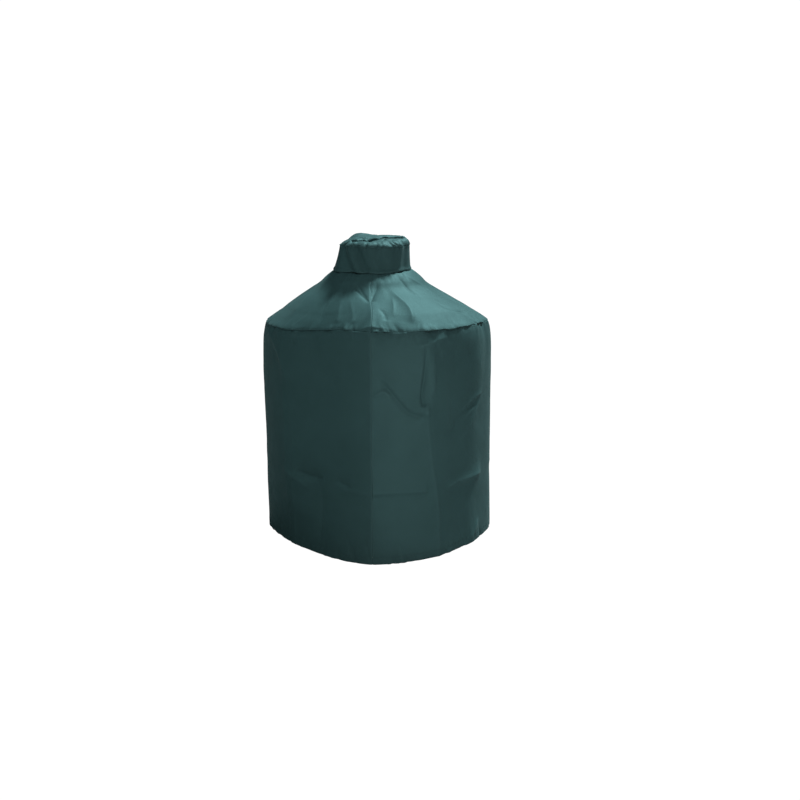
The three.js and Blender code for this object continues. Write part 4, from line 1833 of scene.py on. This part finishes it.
class StitchNodes:
    """A Geometry Nodes tree that lays stitches along a path.

    Attributes:
        shortest: The shortest stitch, as a share of the usual length.
        longest: The longest one.
    """

    shortest = 0.9
    longest = 1.08

    def __init__(self, thread: bpy.types.Material) -> None:
        """Builds the tree once, with named inputs for its sizes."""
        tree = bpy.data.node_groups.new("stitch_row", "GeometryNodeTree")
        self.tree = tree
        face = tree.interface
        face.new_socket("Geometry", in_out="INPUT", socket_type="NodeSocketGeometry")
        for name, value in (("Pitch", 4.6 * MM), ("Stitch Length", 3.6 * MM), ("Thread Width", 0.9 * MM)):
            socket = face.new_socket(name, in_out="INPUT", socket_type="NodeSocketFloat")
            socket.default_value = value
        seed = face.new_socket("Seed", in_out="INPUT", socket_type="NodeSocketInt")
        seed.default_value = 5
        face.new_socket("Geometry", in_out="OUTPUT", socket_type="NodeSocketGeometry")
        inputs = [item for item in face.items_tree if item.in_out == "INPUT"]
        self.identifiers = {item.name: item.identifier for item in inputs}

        def node(kind: str, inputs: dict[str, object] | None = None, **settings: object) -> bpy.types.Node:
            """Adds a node with its settings and unlinked inputs."""
            made = tree.nodes.new(kind)
            for key, value in settings.items():
                setattr(made, key, value)
            for key, value in (inputs or {}).items():
                made.inputs[key].default_value = value
            return made

        given = node("NodeGroupInput")
        result = node("NodeGroupOutput")
        curve = node("GeometryNodeMeshToCurve")
        resample = node("GeometryNodeResampleCurve", mode="LENGTH")
        tangent = node("GeometryNodeInputTangent")
        align = node("FunctionNodeAlignRotationToVector", axis="X")
        stitch = node("GeometryNodeMeshUVSphere", {"Segments": 6, "Rings": 4, "Radius": 0.5})
        size = node("ShaderNodeCombineXYZ")
        uneven = node("FunctionNodeRandomValue", data_type="FLOAT")
        uneven.inputs[2].default_value = self.shortest
        uneven.inputs[3].default_value = self.longest
        length = node("ShaderNodeMath", operation="MULTIPLY")
        instance = node("GeometryNodeInstanceOnPoints")
        realize = node("GeometryNodeRealizeInstances")
        dress = node("GeometryNodeSetMaterial", {"Material": thread})
        wires = (
            (given, "Geometry", curve, "Mesh"),
            (curve, "Curve", resample, "Curve"),
            (given, "Pitch", resample, "Length"),
            (tangent, 0, align, "Vector"),
            (given, "Stitch Length", length, 0),
            (uneven, 1, length, 1),
            (given, "Seed", uneven, "Seed"),
            (length, 0, size, 0),
            (given, "Thread Width", size, 1),
            (given, "Thread Width", size, 2),
            (resample, "Curve", instance, "Points"),
            (stitch, "Mesh", instance, "Instance"),
            (align, 0, instance, "Rotation"),
            (size, 0, instance, "Scale"),
            (instance, "Instances", realize, "Geometry"),
            (realize, "Geometry", dress, "Geometry"),
            (dress, "Geometry", result, "Geometry"),
        )
        for source, output, target, socket in wires:
            tree.links.new(source.outputs[output], target.inputs[socket])

    def sew(self, name: str, lines: Sequence[Array], seed: int) -> bpy.types.Object:
        """Sews rows of stitches along lines and returns them as one plain mesh.

        Args:
            name: The piece's name.
            lines: Each row's points.
            seed: Seed for the stitches' uneven lengths.

        Returns:
            The stitches.
        """
        points = np.vstack(lines)
        edges = []
        start = 0
        for line in lines:
            edges += [(start + step, start + step + 1) for step in range(len(line) - 1)]
            start += len(line)
        path = bpy.data.meshes.new(f"{name}_path")
        path.from_pydata(points.tolist(), edges, [])
        guide = scene_object(f"{name}_guide", path)
        modifier = guide.modifiers.new("stitches", "NODES")
        modifier.node_group = self.tree
        modifier[self.identifiers["Seed"]] = seed
        bpy.context.view_layer.update()
        evaluated = guide.evaluated_get(bpy.context.evaluated_depsgraph_get())
        mesh = bpy.data.meshes.new_from_object(evaluated)
        mesh.name = name
        bpy.data.objects.remove(guide)
        mesh.polygons.foreach_set("use_smooth", np.ones(len(mesh.polygons), bool))
        return scene_object(name, mesh)


@dataclass
class Stitching:
    """The rows of stitches beside each seam and round the hem."""

    skirt: Skirt
    cone: Cone
    cap: Cap
    finishes: Finishes
    beside: float = 6 * MM
    stand_out: float = 0.1 * MM
    pieces: dict[str, bpy.types.Object] = field(default_factory=dict)

    def on_face(self, surface: Surface, turn: Array, height: Array) -> Array:
        """A line of points that lie on a face, standing out a little so that the thread shows."""
        here = surface(turn[None, :], height[None, :])[0]
        side = surface(turn[None, :] + 0.2, height[None, :])[0] - here
        up = surface(turn[None, :], height[None, :] + 1 * MM)[0] - here
        return here + unit_normals(side, up) * self.stand_out

    def ring(self, surface: Surface, height: float) -> Array:
        """A row of stitches all the way round at a height."""
        turn = np.linspace(SEAM_TURN + 0.6, SEAM_TURN + 359.4, 1200)
        return self.on_face(surface, turn, np.full(turn.shape, height))

    def upright(self, surface: Surface, turn: float, low: float, high: float) -> Array:
        """A row of stitches up one seam, on its left as seen from outside."""
        height = np.linspace(low, high, 300)
        radius = self.skirt.form.radius(height)
        return self.on_face(surface, turn + np.degrees(self.beside / radius), height)

    def build(self) -> None:
        """Sews every row."""
        sizes = self.skirt.form.sizes
        nodes = StitchNodes(self.finishes.thread)
        shoulder, neck = sizes.shoulder_height, sizes.neck_height
        skirt_face, cone_face, band_face = self.skirt.surface, self.cone.surface, self.cap.band_surface
        rows = {
            "hem_stitches": [self.ring(skirt_face, 20 * MM), self.ring(skirt_face, 24.5 * MM)],
            "shoulder_stitches": [self.ring(skirt_face, shoulder - self.beside - 1 * MM)],
            "skirt_stitches": [
                self.upright(skirt_face, quarter.start, 28 * MM, shoulder - 10 * MM) for quarter in Quarter
            ],
            "cone_stitches": [
                self.upright(cone_face, quarter.start, shoulder + 6 * MM, neck - 6 * MM)
                for quarter in Quarter
            ],
            "cap_stitches": [
                self.ring(band_face, neck + 6 * MM),
                self.ring(band_face, self.cap.seam_height - 6 * MM),
            ],
        }
        for seed, (name, lines) in enumerate(rows.items(), start=101):
            piece = nodes.sew(name, lines, seed)
            settle(piece, "thread")
            self.pieces[name] = piece


@dataclass(frozen=True)
class Lamp:
    """A soft studio light: its place round and above the cover in degrees, and how it shines."""

    name: str
    turn: float
    tilt: float
    strength: float
    spread: float


LAMPS = (
    Lamp("key", 139.0, 56.0, 7.4, 9.0),
    Lamp("overhead", 0.0, 84.0, 0.80, 70.0),
    Lamp("left", -78.0, 32.0, 0.44, 50.0),
)


@dataclass(frozen=True)
class Panel:
    """A soft light panel close to the cover, at skirt height."""

    place: tuple[float, float, float] = (0.60, -1.60, 0.45)
    aim: tuple[float, float, float] = (0.04, -0.30, 0.42)
    size: float = 0.55
    power: float = 9.9
    colour: Colour = (1.0, 0.82, 0.80)


@dataclass
class Studio:
    """The floor, lights and camera."""

    camera_distance: float = 3.10
    camera_height: float = 1.252
    pitch: float = 14.71
    yaw: float = 1.383
    lens: float = 43.2
    ambient: float = 0.04
    seen_white: float = 1.05
    floor_half: float = 60.0

    def floor(self) -> None:
        """A plain white floor that throws little light back up at the dark cloth."""
        half = self.floor_half
        mesh = bpy.data.meshes.new("floor")
        corners = [(-half, -half, 0.0), (half, -half, 0.0), (half, half, 0.0), (-half, half, 0.0)]
        mesh.from_pydata(corners, [], [(0, 1, 2, 3)])
        sheet = NodeSheet("pale_floor")
        seen = sheet.node("ShaderNodeLightPath").outputs["Is Camera Ray"]
        dim = sheet.node("ShaderNodeBsdfDiffuse")
        dim.inputs["Color"].default_value = (0.2, 0.2, 0.2, 1.0)
        bright = sheet.node("ShaderNodeEmission")
        bright.inputs["Strength"].default_value = self.seen_white
        choose = sheet.node("ShaderNodeMixShader")
        sheet.link(seen, choose.inputs[0])
        sheet.link(dim.outputs[0], choose.inputs[1])
        sheet.link(bright.outputs[0], choose.inputs[2])
        mesh.materials.append(sheet.end(choose.outputs[0]))
        scene_object("floor", mesh)

    def light(self, lamp: Lamp) -> None:
        """Adds a distant soft light that shines on the cover from one side."""
        data = bpy.data.lights.new(lamp.name, "SUN")
        data.energy = lamp.strength
        data.angle = math.radians(lamp.spread)
        turn, tilt = math.radians(lamp.turn), math.radians(lamp.tilt)
        across = math.cos(tilt)
        towards = Vector((math.sin(turn) * across, -math.cos(turn) * across, math.sin(tilt)))
        holder = scene_object(lamp.name, data)
        holder.rotation_euler = towards.to_track_quat("Z", "Y").to_euler()

    def panel(self, panel: Panel) -> None:
        """Adds a square panel that lights the skirt from the front, out of sight of the camera."""
        data = bpy.data.lights.new("front", "AREA")
        data.energy = panel.power
        data.size = panel.size
        data.color = panel.colour
        holder = scene_object("front", data)
        holder.location = panel.place
        away = Vector(panel.place) - Vector(panel.aim)
        holder.rotation_euler = away.to_track_quat("Z", "Y").to_euler()
        holder.visible_camera = False

    def camera(self) -> None:
        """The camera, in front of the cover and a little above it."""
        data = bpy.data.cameras.new("camera")
        data.lens = self.lens
        data.sensor_width = 36.0
        data.clip_end = 200.0
        holder = scene_object("camera", data)
        holder.location = (0.0, -self.camera_distance, self.camera_height)
        holder.rotation_euler = (math.radians(90.0 - self.pitch), 0.0, -math.radians(self.yaw))
        bpy.context.scene.camera = holder

    def sky(self) -> None:
        """A white backdrop whose light on the cover is set apart from how bright it looks."""
        world = bpy.data.worlds.new("studio")
        world.use_nodes = True
        tree = world.node_tree
        background = tree.nodes["Background"]
        background.inputs["Color"].default_value = (1.0, 1.0, 1.0, 1.0)
        path = tree.nodes.new("ShaderNodeLightPath")
        strength = tree.nodes.new("ShaderNodeMix")
        strength.data_type = "FLOAT"
        strength.inputs[2].default_value = self.ambient
        strength.inputs[3].default_value = self.seen_white
        tree.links.new(path.outputs["Is Camera Ray"], strength.inputs[0])
        tree.links.new(strength.outputs[0], background.inputs["Strength"])
        bpy.context.scene.world = world

    def build(self) -> None:
        """Sets up the scene round the cover."""
        self.floor()
        for lamp in LAMPS:
            self.light(lamp)
        self.panel(Panel())
        self.sky()
        bpy.context.scene.view_settings.view_transform = "Standard"
        self.camera()


def main() -> None:
    """Builds the cover and the scene round it."""
    logging.basicConfig(level=logging.INFO, format="%(name)s: %(message)s")
    sizes = CoverSizes.from_frame()
    studio = Studio()
    studio.build()
    form = CoverForm(sizes)
    finishes = Finishes.make()
    skirt = Skirt(form, finishes)
    skirt.build()
    cone = Cone(form, finishes)
    cone.build()
    cap = Cap(form, finishes)
    cap.build()
    inside = InsideWork(skirt, cone, cap, finishes)
    inside.build()
    stitching = Stitching(skirt, cone, cap, finishes)
    stitching.build()


if __name__ == "__main__":
    main()
